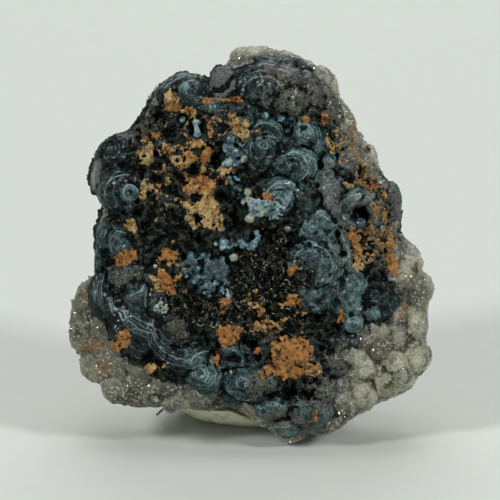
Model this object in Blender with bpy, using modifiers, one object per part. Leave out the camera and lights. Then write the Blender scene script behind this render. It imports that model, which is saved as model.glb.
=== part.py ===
"""A chalcedony rose, 50 mm tall, leaning back on a lump of display putty.

The specimen is modelled lying on its back, its face up: x runs across the face, y up it and z out of it, in
millimetres from the middle of the face. It is then tipped up until it leans back on the putty. The row frame
is in metres with +Z up, the face towards -Y, and its origin on the ground under the middle of the object.
"""

import math

import bmesh
import bpy
import numpy as np
from mathutils import Matrix, Vector, noise
from mathutils.bvhtree import BVHTree

MM = 0.001

# The whole specimen
LEAN = math.radians(15)             # the face leans back this far from upright
FACE_MIDDLE = (0.04, -1.78, 23.43)  # the middle of the face, in mm in the row frame
FRONT_BULGE = 7.5                   # how far the face swells out of the plane of its rim, mm
BACK_BULGE = 10.5                   # the same for the back, mm
SQUARENESS = 2.6                    # 2 is a lens, and more is flatter in the middle and rounder at the rim
GOLDEN_ANGLE = math.radians(137.5)  # from each growth to the next where they are laid out as a spiral

# Meshing
CORE_SEGMENTS = 160
CORE_RINGS = 72
LUMP_SUBDIVISIONS = 3
VOXEL = 0.55                        # mm
ROSE_TRIANGLES = 7400               # before the crystals of the face are joined on
SHARP_EDGE = math.radians(40)       # an edge that bends more than this is shaded as a sharp one

# Roughness of the broken and grown surface
GRAIN_SIZE = 3.4                 # mm
FACE_GRAIN = 0.42                # mm
BACK_GRAIN = 0.2                 # mm
GRAIN_OCTAVES = 3

# The druse's crystals, each a six-sided prism with a pyramid for its tip
CRYSTAL_SIDES = 6
TIP_STEEPNESS = 1.1              # a tip's height as a share of the crystal's radius
CRYSTAL_ROOT = 1.6               # how far a crystal's foot is sunk, as a share of its radius
CRYSTAL_STAND = 0.2              # how far its prism stands out, as a share of its radius
CRYSTAL_TILT = 0.35              # how far its axis strays from the surface's own direction
TILT_BEATS = (2.1, 3.3, 1.3)     # radians from one crystal's stray to the next one's, across, up and out
BACK_CRYSTALS = 80
BACK_CRYSTAL_SIZE = (1.3, 2.5)   # smallest and largest radius, mm
BACK_CRYSTAL_BEAT = 1.7          # radians from one crystal's size to the next one's
BACK_CRYSTAL_TURN = 1.0          # radians that their spiral is turned from that of the mounds below them
BACK_CRYSTAL_REACH = 0.93        # the share of the way out to the rim that the outermost ones stand at
BACK_CRYSTAL_FLARE = 0.9         # how much the outermost ones lean outwards
GROUND_CLEARANCE = 0.6           # mm between the ground and the tip of the lowest one

# The putty
PUTTY_MIDDLE = (-0.5, 5.4, 4.2)  # mm from the point on the ground below the middle of the face
PUTTY_SIZE = (10.3, 9.2, 5.1)    # half width, half depth and half height before it is pressed, mm
PUTTY_SEGMENTS = 28
PUTTY_RINGS = 16
PUTTY_GAP = 0.7                  # mm between the putty and the specimen that pressed it
PRESS_VOXEL = 0.6                # mm
PRESS_DETAIL = 0.25              # the share of the pressing shape's faces that are kept
PUTTY_DIMPLE_SIZE = 6.0          # mm
PUTTY_DIMPLE_HEIGHT = 0.35       # mm

STONE_COLOUR = (0.10, 0.13, 0.15, 1)
PUTTY_COLOUR = (0.62, 0.60, 0.50, 1)

# The rim of the specimen, seen square on to the face: (across, up) in mm, from the top, clockwise
RIM = (
    (-0.2, 25.4), (2.1, 25.3), (3.7, 24.8), (5.7, 24.3), (7.6, 23.6), (8.9, 22.5), (9.9, 21.7),
    (11.4, 18.7), (12.5, 16.4), (13.4, 15.0), (15.3, 12.2), (16.1, 10.2), (16.8, 9.1), (18.3, 8.0),
    (18.9, 7.0), (19.0, 5.3), (18.8, 2.2), (19.7, 1.1), (20.7, 0.1), (21.5, -1.5), (21.4, -2.5),
    (22.5, -3.8), (22.6, -5.1), (21.9, -6.6), (22.3, -8.1), (22.0, -9.7), (21.9, -11.3), (22.4, -13.0),
    (22.3, -14.6), (21.2, -15.6), (20.1, -17.2), (18.8, -17.9), (16.1, -19.0), (12.9, -20.8), (10.9, -22.1),
    (9.6, -23.0), (7.6, -22.8), (6.7, -23.3), (5.3, -23.9), (4.0, -23.4), (2.7, -22.5), (-0.3, -20.5),
    (-2.5, -19.4), (-4.4, -19.6), (-10.4, -19.4), (-14.4, -19.5), (-16.3, -19.1), (-17.5, -18.4), (-18.5, -16.9),
    (-19.8, -15.6), (-20.7, -14.0), (-21.3, -12.0), (-22.3, -10.4), (-22.5, -9.1), (-22.1, -7.8), (-21.6, -5.1),
    (-20.8, -4.2), (-18.8, -3.5), (-19.0, -2.5), (-19.5, 2.1), (-18.8, 5.0), (-18.4, 6.0), (-19.8, 7.0),
    (-20.3, 9.9), (-19.8, 11.2), (-18.8, 12.5), (-16.7, 14.3), (-15.2, 15.1), (-13.9, 16.8), (-12.0, 19.7),
    (-11.2, 20.9), (-9.0, 22.2), (-7.1, 22.2), (-5.3, 21.5), (-4.9, 22.0), (-2.8, 23.2), (-1.9, 24.9),
)

# Mounds that grew on the face: (across, up, half width, half height, how far it stands out, degrees turned)
FACE_MOUNDS = (
    # The crown and its shoulders
    (2.5, 20.2, 5.0, 3.3, 2.2, -4), (-1.7, 16.7, 3.4, 1.8, 1.4, 6), (5.8, 17.9, 2.2, 2.6, 1.8, 0),
    (-7.1, 19.6, 2.1, 2.3, 1.5, 0), (-3.9, 20.8, 1.7, 2.4, 0.9, -30), (-12.1, 15.8, 3.0, 1.7, 0.9, 44),
    (0.0, 24.0, 2.2, 1.3, 0.4, 0), (9.4, 20.6, 1.5, 2.6, 0.2, 28), (10.9, 16.6, 1.5, 3.4, 0.8, 22),
    # Down the left side
    (-16.1, 11.5, 3.0, 2.3, 1.1, 30), (-15.8, 7.5, 3.0, 3.1, 1.7, 0), (-16.9, 1.9, 2.1, 2.5, 1.1, 0),
    (-15.4, -1.9, 2.4, 2.0, 1.3, 0), (-17.6, -6.7, 1.9, 3.6, 0.6, 8), (-13.6, -9.2, 4.6, 4.2, 1.8, -35),
    (-9.3, -9.4, 3.6, 3.0, 1.0, 0), (-8.8, -13.2, 4.2, 2.0, 1.0, -30),
    # The pale druse at the lower left
    (-20.3, -7.1, 1.7, 3.2, -0.3, 0), (-20.6, -10.6, 1.9, 2.3, -0.1, 0), (-18.7, -14.2, 2.4, 2.5, 0.4, 0),
    (-16.1, -17.0, 2.4, 2.1, 0.4, 0), (-11.7, -16.7, 3.4, 2.2, 0.9, 12), (-5.0, -18.3, 2.6, 1.5, -0.6, 0),
    # Along the foot
    (-6.6, -15.8, 2.2, 2.5, 1.9, 20), (0.3, -15.8, 3.4, 2.4, 1.9, 0), (-2.1, -18.3, 1.3, 1.3, 0.7, 0),
    (2.5, -19.6, 2.4, 2.0, 1.5, 0), (7.9, -20.2, 3.3, 2.3, 1.6, 10), (5.2, -22.6, 1.6, 1.3, -0.4, 0),
    # The pale lumps of druse at the lower right
    (12.5, -18.6, 2.7, 2.2, 1.1, 20), (16.7, -16.5, 2.6, 2.0, 0.8, 25), (20.1, -14.3, 2.0, 2.4, 0.4, 0),
    (20.0, -10.0, 2.1, 2.7, 0.7, 0), (20.2, -5.0, 2.2, 2.2, 0.6, 0), (16.3, -12.3, 1.9, 1.8, 1.0, 0),
    (19.2, -0.9, 1.8, 1.8, 0.3, 0),
    # The ringed mounds right of the middle
    (8.4, -1.3, 3.5, 3.6, 2.4, 0), (7.9, 3.0, 2.1, 2.5, 2.0, -20), (10.9, 0.6, 1.4, 4.4, 1.7, 12),
    (1.7, 12.5, 2.7, 2.9, 2.1, 0), (5.4, 10.4, 3.1, 2.6, 2.2, -20), (4.2, 7.1, 1.8, 2.0, 1.9, 0),
    (6.8, 6.6, 1.7, 2.2, 1.6, 0), (9.8, 6.9, 1.6, 3.6, 1.4, 18), (13.3, 4.4, 2.6, 2.6, 1.5, 0),
    (9.2, 11.2, 1.3, 1.3, 1.5, 0), (7.6, 13.8, 1.9, 2.4, 1.6, 25), (11.3, 12.9, 2.0, 2.4, 1.1, 0),
    (12.5, -5.4, 2.3, 3.6, 1.3, -12), (15.8, -7.1, 2.6, 2.4, 1.2, 0), (13.2, -9.4, 1.6, 1.6, 1.3, 0),
    # The middle
    (-5.4, -1.8, 3.5, 3.0, 1.4, 0), (1.7, 4.6, 2.2, 1.4, 1.2, -10), (-8.8, 12.5, 3.0, 2.4, 1.2, 0),
    (-5.0, 4.2, 2.7, 3.3, 0.9, 0), (-10.3, 4.0, 3.2, 3.4, 0.9, 0), (5.8, -12.3, 4.2, 2.9, 0.7, 0),
    (-2.9, -9.4, 3.0, 2.2, 0.8, 0),
)

MOUND_DEPTH = 0.4                # a mound's half depth as a share of its half width and half height together
MOUND_DEPTH_PER_RISE = 0.5       # and what is added to that for each mm that it stands out

# Hollows in the face: (across, up, half width, half height, depth)
FACE_HOLLOWS = (
    (2.9, 1.2, 2.6, 2.2, 3.4), (-1.9, 4.1, 1.5, 1.9, 2.0), (1.2, -5.6, 4.6, 3.8, 1.3),
    (9.0, 2.4, 0.8, 0.8, 0.4), (-8.2, 16.2, 1.5, 1.4, 1.5), (14.8, 1.0, 1.3, 1.5, 1.2),
    (7.0, -18.0, 2.6, 0.7, 1.3), (4.6, 15.0, 3.8, 0.8, 1.1), (-2.3, -13.4, 1.6, 0.9, 1.6),
    (-12.0, -13.4, 2.0, 1.0, 0.9), (16.9, -9.0, 1.0, 1.2, 0.8),
)
HOLLOW_STEEPNESS = 1.2
HOLLOW_END = 2.0                 # a hollow fades out at this many half widths from its middle

# Pits in the spongy middle of the face, laid out as a spiral round its own middle
PITS = 22
PIT_FIELD = (-2.5, 0.5, 11.0)    # across, up and half width of the spongy part, mm
PIT_RADIUS = 1.1                 # mm
PIT_DEPTH = 1.0                  # mm

# Where single crystals stand in the druse that shows from the front: (across, up, radius) in mm
FACE_CRYSTALS = (
    (18.3, -13.2, 1.2), (20.4, -12.1, 0.9), (18.6, -8.4, 1.1), (20.9, -7.4, 1.0), (17.9, -4.4, 1.0),
    (20.6, -3.0, 0.9), (14.6, -15.3, 1.1), (17.7, -16.2, 0.9), (11.6, -17.2, 1.0), (14.0, -18.0, 0.9),
    (15.5, -13.0, 0.9), (-20.5, -9.0, 0.9), (-19.6, -12.6, 1.0), (-17.6, -15.7, 0.9), (-14.2, -17.6, 0.9),
    (-4.4, -18.6, 0.9), (-6.1, -18.8, 0.8), (11.2, 18.4, 0.8), (12.4, 15.4, 0.8),
)

# Broken slabs of grey quartz with flat faces: (across, up, half width, half height, how far it stands out,
# turned in the plane of the face, tipped out of it)
FACE_SLABS = (
    (-13.4, 14.9, 2.4, 1.1, 0.5, 45, -14), (-9.4, -18.0, 2.3, 1.0, 0.1, 28, 25),
    (-3.6, 20.9, 1.3, 2.2, 0.8, -12, 10), (12.2, -12.9, 1.9, 1.1, 0.8, -20, -12),
    (6.8, -14.9, 3.4, 0.6, 0.9, 3, 20),
)
SLAB_DEPTH = 1.6                 # half the thickness of a slab, mm

# Rounded growths of the druse on the back, laid out as a spiral so that they cover it evenly
BACK_MOUNDS = 26
BACK_MOUND_SIZE = (2.6, 4.4)     # smallest and largest half width, mm
BACK_MOUND_FLATNESS = 0.8        # half depth as a share of half width
BACK_MOUND_RISE = 0.9            # mm
BACK_MOUND_BEAT = 2.4            # radians from one mound's size to the next one's
BACK_MOUND_REACH = 0.82          # the share of the way out to the rim that the outermost ones stand at


def row_frame():
    """Turns a place from the face's own axes in mm to the row frame in metres."""
    stand = Matrix.Rotation(math.pi / 2 - LEAN, 4, "X")
    return Matrix.Scale(MM, 4) @ Matrix.Translation(FACE_MIDDLE) @ stand


def clear_scene():
    for obj in list(bpy.data.objects):
        bpy.data.objects.remove(obj, do_unlink=True)


def collection(name):
    made = bpy.data.collections.new(name)
    bpy.context.scene.collection.children.link(made)
    return made


def material(name, colour, roughness):
    made = bpy.data.materials.new(name)
    made.use_nodes = True
    shader = made.node_tree.nodes["Principled BSDF"]
    shader.inputs["Base Color"].default_value = colour
    shader.inputs["Roughness"].default_value = roughness
    return made


def rim_reach():
    """The rim's angles and its distances from the middle of the face, in mm, in order of angle."""
    points = np.array(RIM)
    angles = np.arctan2(points[:, 1], points[:, 0])
    order = np.argsort(angles)
    return angles[order], np.hypot(points[:, 0], points[:, 1])[order]


RIM_ANGLES, RIM_REACH = rim_reach()


def reach_at(angle):
    """How far the rim is from the middle of the face in this direction, in mm."""
    return float(np.interp(angle, RIM_ANGLES, RIM_REACH, period=2 * math.pi))


def depth_at(across, up, bulge):
    """How far the plain, lens-like body stands out of the plane of the rim at this place, in mm."""
    share = math.hypot(across, up) / reach_at(math.atan2(up, across))
    return bulge * max(0.0, 1 - share**SQUARENESS) ** (1 / SQUARENESS)


def body_core():
    """The plain body: a sphere whose equator is drawn out to the rim, and whose poles are pressed flat."""
    core = bmesh.new()
    bmesh.ops.create_uvsphere(core, u_segments=CORE_SEGMENTS, v_segments=CORE_RINGS, radius=1)
    for vert in core.verts:
        flat = math.hypot(vert.co.x, vert.co.y)
        angle = math.atan2(vert.co.y, vert.co.x)
        out = reach_at(angle) * flat ** (2 / SQUARENESS)
        bulge = FRONT_BULGE if vert.co.z > 0 else -BACK_BULGE
        depth = bulge * abs(vert.co.z) ** (2 / SQUARENESS)
        vert.co = Vector((out * math.cos(angle), out * math.sin(angle), depth))
    return core


def add_mound(body, middle, half_sizes, turn):
    """Adds an ellipsoid, whose half_sizes are in mm, to the body. The voxels fuse it later."""
    place = Matrix.Translation(middle) @ Matrix.Rotation(turn, 4, "Z") @ Matrix.Diagonal((*half_sizes, 1))
    bmesh.ops.create_icosphere(body, subdivisions=LUMP_SUBDIVISIONS, radius=1, matrix=place)


def add_face_mounds(body):
    for across, up, half_width, half_height, rise, turn in FACE_MOUNDS:
        half_depth = MOUND_DEPTH * (half_width + half_height) + MOUND_DEPTH_PER_RISE * max(rise, 0)
        top = depth_at(across, up, FRONT_BULGE) + rise
        middle = Vector((across, up, top - half_depth))
        add_mound(body, middle, (half_width, half_height, half_depth), math.radians(turn))


def add_face_slabs(body):
    for across, up, half_width, half_height, rise, turn, tip in FACE_SLABS:
        middle = Vector((across, up, depth_at(across, up, FRONT_BULGE) + rise - SLAB_DEPTH))
        turned = Matrix.Rotation(math.radians(turn), 4, "Z") @ Matrix.Rotation(math.radians(tip), 4, "X")
        size = Matrix.Diagonal((half_width, half_height, SLAB_DEPTH, 1))
        bmesh.ops.create_cube(body, size=2, matrix=Matrix.Translation(middle) @ turned @ size)


def spiral(count, turn=0.0):
    """The number, angle and share of the way out of each place on a spiral that covers a disc evenly."""
    for number in range(count):
        angle = math.remainder(number * GOLDEN_ANGLE + turn, 2 * math.pi)
        yield number, angle, math.sqrt((number + 0.5) / count)


def between(limits, wave):
    """A size between the two limits, as the sine of wave says."""
    smallest, largest = limits
    return smallest + (largest - smallest) * (0.5 + 0.5 * math.sin(wave))


def add_back_mounds(body):
    for number, angle, share in spiral(BACK_MOUNDS):
        out = share * BACK_MOUND_REACH * reach_at(angle)
        across = out * math.cos(angle)
        up = out * math.sin(angle)
        size = between(BACK_MOUND_SIZE, number * BACK_MOUND_BEAT)
        half_depth = BACK_MOUND_FLATNESS * size
        depth = depth_at(across, up, BACK_BULGE) + BACK_MOUND_RISE - half_depth
        add_mound(body, Vector((across, up, -depth)), (size, size, half_depth), 0)


def add_crystal(cluster, foot, axis, radius):
    """Adds one six-sided crystal, which stands on foot along axis and ends in a pyramid, to the cluster."""
    point = Matrix.Translation(foot) @ axis.to_track_quat("Z", "Y").to_matrix().to_4x4()
    prism = radius * (CRYSTAL_ROOT + CRYSTAL_STAND)
    tip = radius * TIP_STEEPNESS
    place = point @ Matrix.Translation((0, 0, radius * CRYSTAL_STAND + tip / 2))
    made = bmesh.ops.create_cone(
        cluster, cap_ends=True, segments=CRYSTAL_SIDES, radius1=radius, radius2=0, depth=tip, matrix=place
    )
    widest = [face for face in made["verts"][0].link_faces if len(face.verts) == CRYSTAL_SIDES]
    grown = bmesh.ops.extrude_discrete_faces(cluster, faces=widest)["faces"]
    bmesh.ops.translate(cluster, vec=-prism * axis, verts=grown[0].verts)


def stray(number):
    """A small sideways lean that is different for each crystal."""
    across, up, out = TILT_BEATS
    return CRYSTAL_TILT * Vector((math.sin(number * across), math.cos(number * up), math.sin(number * out)))


def add_back_crystals(body):
    for number, angle, share in spiral(BACK_CRYSTALS, BACK_CRYSTAL_TURN):
        outward = Vector((math.cos(angle), math.sin(angle), 0))
        foot = outward * share * BACK_CRYSTAL_REACH * reach_at(angle)
        foot.z = -depth_at(foot.x, foot.y, BACK_BULGE)
        flare = BACK_CRYSTAL_FLARE * (share * BACK_CRYSTAL_REACH) ** 3
        axis = (outward * flare + Vector((0, 0, -1)) + stray(number)).normalized()
        radius = between(BACK_CRYSTAL_SIZE, number * BACK_CRYSTAL_BEAT)
        tip = foot + axis * radius * (CRYSTAL_STAND + TIP_STEEPNESS)
        if (row_frame() @ tip).z > GROUND_CLEARANCE * MM:
            add_crystal(body, foot, axis, radius)


def face_crystals(skin, group):
    """The single crystals in the druse of the face, each standing where a line straight in meets the skin."""
    surface = BVHTree.FromPolygons(
        [vert.co for vert in skin.vertices], [face.vertices for face in skin.polygons]
    )
    cluster = bmesh.new()
    for number, (across, up, radius) in enumerate(FACE_CRYSTALS):
        foot, normal, _, _ = surface.ray_cast(Vector((across, up, 2 * FRONT_BULGE)), Vector((0, 0, -1)))
        add_crystal(cluster, foot, (normal + stray(number)).normalized(), radius)
    mesh = bpy.data.meshes.new("face_crystals")
    cluster.to_mesh(mesh)
    mesh.transform(row_frame())
    made = bpy.data.objects.new("face_crystals", mesh)
    made.hide_render = True
    made.display_type = "WIRE"
    group.objects.link(made)
    return made


def fused(body, group):
    """The overlapping shapes of the body as one skin of even voxels."""
    mesh = bpy.data.meshes.new("loose")
    body.to_mesh(mesh)
    loose = bpy.data.objects.new("loose", mesh)
    group.objects.link(loose)
    remesh = loose.modifiers.new("one_skin", "REMESH")
    remesh.mode = "VOXEL"
    remesh.voxel_size = VOXEL
    graph = bpy.context.evaluated_depsgraph_get()
    skin = bpy.data.meshes.new_from_object(loose.evaluated_get(graph))
    bpy.data.objects.remove(loose)
    return skin


def face_pits():
    """The pits of the spongy middle, each given as a hollow is."""
    middle_across, middle_up, half_width = PIT_FIELD
    for _, angle, share in spiral(PITS):
        across = middle_across + half_width * share * math.cos(angle)
        up = middle_up + half_width * share * math.sin(angle)
        yield across, up, PIT_RADIUS, PIT_RADIUS, PIT_DEPTH


def hollow_depth(point, hollows):
    """How far the face is sunk at this point, in mm, summed over the hollows."""
    sunk = 0.0
    for across, up, half_width, half_height, depth in hollows:
        share = ((point.x - across) / half_width) ** 2 + ((point.y - up) / half_height) ** 2
        if share < HOLLOW_END**2:
            sunk += depth * math.exp(-share * HOLLOW_STEEPNESS)
    return sunk


def weather(skin):
    """Sinks the hollows into the face, and roughens the whole skin."""
    hollows = [*FACE_HOLLOWS, *face_pits()]
    normals = [vert.normal.copy() for vert in skin.vertices]
    for vert, normal in zip(skin.vertices, normals):
        if normal.z > 0:
            vert.co.z -= hollow_depth(vert.co, hollows) * normal.z
        grain = noise.fractal(vert.co / GRAIN_SIZE, 1.0, 2.0, GRAIN_OCTAVES)
        vert.co += normal * grain * (FACE_GRAIN if vert.co.z > 0 else BACK_GRAIN)


def make_rose(parts, helpers):
    body = body_core()
    add_face_mounds(body)
    add_face_slabs(body)
    add_back_mounds(body)
    add_back_crystals(body)
    skin = fused(body, helpers)
    weather(skin)
    grown = face_crystals(skin, helpers)
    skin.transform(row_frame())
    skin.name = "rose"
    skin.shade_smooth()
    skin.set_sharp_from_angle(angle=SHARP_EDGE)
    rose = bpy.data.objects.new("rose", skin)
    rose.data.materials.append(material("banded_chalcedony", STONE_COLOUR, 0.4))
    parts.objects.link(rose)
    thin = rose.modifiers.new("fewer_faces", "DECIMATE")
    thin.ratio = ROSE_TRIANGLES / sum(len(face.vertices) - 2 for face in skin.polygons)
    join = rose.modifiers.new("crystals_grown_on", "BOOLEAN")
    join.operation = "UNION"
    join.object = grown
    return rose


def press_cutter(rose, helpers):
    """The specimen swollen by the gap, which presses the putty into shape."""
    graph = bpy.context.evaluated_depsgraph_get()
    form = bpy.data.meshes.new_from_object(rose.evaluated_get(graph))
    cutter = bpy.data.objects.new("press_cutter", form)
    cutter.hide_render = True
    cutter.display_type = "WIRE"
    helpers.objects.link(cutter)
    swell = cutter.modifiers.new("swollen_by_the_gap", "DISPLACE")
    swell.mid_level = 0
    swell.strength = PUTTY_GAP * MM
    skin = cutter.modifiers.new("one_skin", "REMESH")
    skin.mode = "VOXEL"
    skin.voxel_size = PRESS_VOXEL * MM
    thin = cutter.modifiers.new("fewer_faces", "DECIMATE")
    thin.ratio = PRESS_DETAIL
    return cutter


def make_putty(rose, parts, helpers):
    lump = bmesh.new()
    bmesh.ops.create_uvsphere(lump, u_segments=PUTTY_SEGMENTS, v_segments=PUTTY_RINGS, radius=1)
    centre = Vector((FACE_MIDDLE[0], FACE_MIDDLE[1], 0)) + Vector(PUTTY_MIDDLE)
    for vert in lump.verts:
        out = vert.co.normalized()
        vert.co = centre + Vector([size * part for size, part in zip(PUTTY_SIZE, out)])
        dimple = noise.noise(vert.co / PUTTY_DIMPLE_SIZE)
        vert.co += out * PUTTY_DIMPLE_HEIGHT * dimple
    everything = lump.verts[:] + lump.edges[:] + lump.faces[:]
    cut = bmesh.ops.bisect_plane(
        lump, geom=everything, dist=1e-4, plane_co=(0, 0, 0), plane_no=(0, 0, 1), clear_inner=True
    )
    rim = [piece for piece in cut["geom_cut"] if isinstance(piece, bmesh.types.BMEdge)]
    bmesh.ops.contextual_create(lump, geom=rim)
    bmesh.ops.recalc_face_normals(lump, faces=lump.faces[:])
    bmesh.ops.scale(lump, vec=(MM, MM, MM), verts=lump.verts[:])
    mesh = bpy.data.meshes.new("putty")
    lump.to_mesh(mesh)
    mesh.shade_smooth()
    mesh.set_sharp_from_angle(angle=SHARP_EDGE)
    putty = bpy.data.objects.new("putty", mesh)
    putty.data.materials.append(material("putty", PUTTY_COLOUR, 0.8))
    parts.objects.link(putty)
    pressed = putty.modifiers.new("pressed_by_the_rose", "BOOLEAN")
    pressed.operation = "DIFFERENCE"
    pressed.object = press_cutter(rose, helpers)
    return putty


def main():
    clear_scene()
    parts = collection("chalcedony_rose")
    helpers = collection("cutters")
    rose = make_rose(parts, helpers)
    make_putty(rose, parts, helpers)


main()
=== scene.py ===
# %% [markdown]
# # A chalcedony rose leaning on a lump of display putty
#
# The specimen is a crust of banded, blue-black chalcedony that grew in lobes over quartz. Clay sits in its
# hollows, and clear druse shows on its rim and back. This lesson builds the finish of each layer as its own
# piece: the pale quartz, the dark crust, the clay, the beads, the broken skins and the small clear
# crystals.

import itertools
import math
import time
from typing import NamedTuple

import bmesh
import bpy
import numpy as np
from mathutils import Matrix, Vector
from mathutils.bvhtree import BVHTree


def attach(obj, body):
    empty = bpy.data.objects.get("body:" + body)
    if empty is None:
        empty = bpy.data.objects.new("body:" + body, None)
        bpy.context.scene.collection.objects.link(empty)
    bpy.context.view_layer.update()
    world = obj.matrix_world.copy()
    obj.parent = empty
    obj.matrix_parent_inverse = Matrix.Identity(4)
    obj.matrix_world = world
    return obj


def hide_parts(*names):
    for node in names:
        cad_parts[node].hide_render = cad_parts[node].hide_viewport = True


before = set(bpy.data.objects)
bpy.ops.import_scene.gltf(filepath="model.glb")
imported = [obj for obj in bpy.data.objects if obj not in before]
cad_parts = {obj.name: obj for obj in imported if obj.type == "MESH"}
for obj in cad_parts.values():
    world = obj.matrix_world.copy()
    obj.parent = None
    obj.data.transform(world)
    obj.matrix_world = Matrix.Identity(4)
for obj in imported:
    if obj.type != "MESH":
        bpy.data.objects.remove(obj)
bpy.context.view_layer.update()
started = time.time()

# %% [markdown]
# The specimen is modelled as if it lay on its back: x runs across the face, y up it and z out of it, in
# millimetres. A last step tips it up until it leans back on the putty, so every place can be measured
# straight off the face.

# %% The face's own axes
MM = 0.001
LEAN = math.radians(15)
FACE_MIDDLE = (0.04, -1.78, 23.43)
STAND_UP = (
    Matrix.Scale(MM, 4) @ Matrix.Translation(FACE_MIDDLE) @ Matrix.Rotation(math.pi / 2 - LEAN, 4, "X")
)


def places(mesh):
    """The vertices of a mesh as rows of three numbers."""
    flat = np.empty(len(mesh.vertices) * 3, np.float32)
    mesh.vertices.foreach_get("co", flat)
    return flat.reshape(-1, 3).astype(float)


def directions(mesh):
    """The normal at each vertex."""
    flat = np.empty(len(mesh.vertices) * 3, np.float32)
    mesh.vertices.foreach_get("normal", flat)
    return flat.reshape(-1, 3).astype(float)


def move_to(mesh, points):
    mesh.vertices.foreach_set("co", points.astype(np.float32).ravel())
    mesh.update()


def keep(mesh, **numbers):
    """Stores each list of numbers, one at each vertex, under its name, so that a material can read it."""
    for name, values in numbers.items():
        layer = mesh.attributes.new(name, "FLOAT", "POINT")
        layer.data.foreach_set("value", np.asarray(values, np.float32))


def rising(values, start, slope):
    """0 up to start, then rising by this slope as far as 1."""
    return np.clip((values - start) * slope, 0, 1)


def along_turned(right, high, turn):
    """The same offset on the face, measured along axes that are turned by so many degrees."""
    c, s = math.cos(math.radians(turn)), math.sin(math.radians(turn))
    return right * c + high * s, high * c - right * s


def triangles(mesh):
    mesh.calc_loop_triangles()
    return len(mesh.loop_triangles)


GROUND_SKIN = 0.05


def above_ground(points):
    """The points with any that lie below the ground lifted on to it."""
    up = np.array(STAND_UP.to_3x3().inverted() @ Vector((0, 0, MM)))
    heights = (points @ np.array(STAND_UP.to_3x3()).T)[:, 2] / MM + STAND_UP.translation.z / MM
    return points + np.clip(GROUND_SKIN - heights, 0, None)[:, None] * up


# %% [markdown]
# Stone is rough at every scale, so the surfaces are moved by two kinds of noise. One is a smooth grain,
# read from a lattice of fixed random numbers. The other is made of cells, each round its own scattered
# point, which gives the rounded grains of druse and of crumbled clay. Both work on whole lists of points at
# once, so they are quick.

# %% Grain and cells
LATTICE = np.random.default_rng(4014).uniform(-1, 1, 4096)
LATTICE_STEPS = np.array([73856093, 19349663, 83492791])
SEED_STEP = 13.7


def lattice_key(cell):
    return np.bitwise_xor.reduce(cell * LATTICE_STEPS, axis=1) % len(LATTICE)


def grain(points, size, seed=0):
    """Smooth noise from -1 to 1 at each point, with lumps about size across."""
    at = points / size + SEED_STEP * seed
    cell = np.floor(at).astype(np.int64)
    share = at - cell
    ease = share * share * (3 - 2 * share)
    total = np.zeros(len(points))
    for corner in itertools.product((0, 1), repeat=3):
        weight = np.where(corner, ease, 1 - ease).prod(axis=1)
        total += weight * LATTICE[lattice_key(cell + corner)]
    return total


def rough(points, size, seed=0, octaves=3):
    """Grain of several sizes added up, each half as large and half as high as the one before."""
    return sum(grain(points, size / 2**step, seed + step) / 2**step for step in range(octaves))


def cells(points, size, seed=0):
    """For each point: how far the nearest scattered point is, how much further the next one is, the number of
    the nearest one, and the way from it."""
    at = points / size + SEED_STEP * seed
    cell = np.floor(at).astype(np.int64)
    nearest = np.full(len(points), 9.0)
    second = np.full(len(points), 9.0)
    number = np.zeros(len(points))
    offset = np.zeros_like(points)
    for step in itertools.product((-1, 0, 1), repeat=3):
        key = lattice_key(cell + step)
        middle = np.stack([LATTICE[(key + shift) % len(LATTICE)] for shift in (0, 1111, 2222)], axis=1)
        away = at - (cell + step + 0.5 + 0.45 * middle)
        far = np.linalg.norm(away, axis=1)
        offset = np.where((far < nearest)[:, None], away, offset)
        number = np.where(far < nearest, LATTICE[(key + 3333) % len(LATTICE)], number)
        second = np.minimum(second, np.maximum(nearest, far))
        nearest = np.minimum(nearest, far)
    return nearest, second - nearest, number, offset


def facets(points, size, seed=0):
    """The height of a flat facet in each cell. Each facet leans its own way, as the faces of crystals do."""
    _, _, number, offset = cells(points, size, seed)
    lean = np.stack([np.sin(57 * number), np.sin(91 * number + 1), np.sin(33 * number + 2)], axis=1)
    return size * (offset * lean).sum(axis=1)


# %% [markdown]
# The body is a lens whose rim follows the outline of the real specimen, seen square on to the face. The
# crust has an outline of its own, because the pale quartz shows past it at the foot, on the right and at
# the top.

# %% The two outlines and the lens
FRONT_BULGE = 7.5
BACK_BULGE = 10.5
SQUARENESS = 2.6
CORE_SEGMENTS = 160
CORE_RINGS = 72

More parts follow.
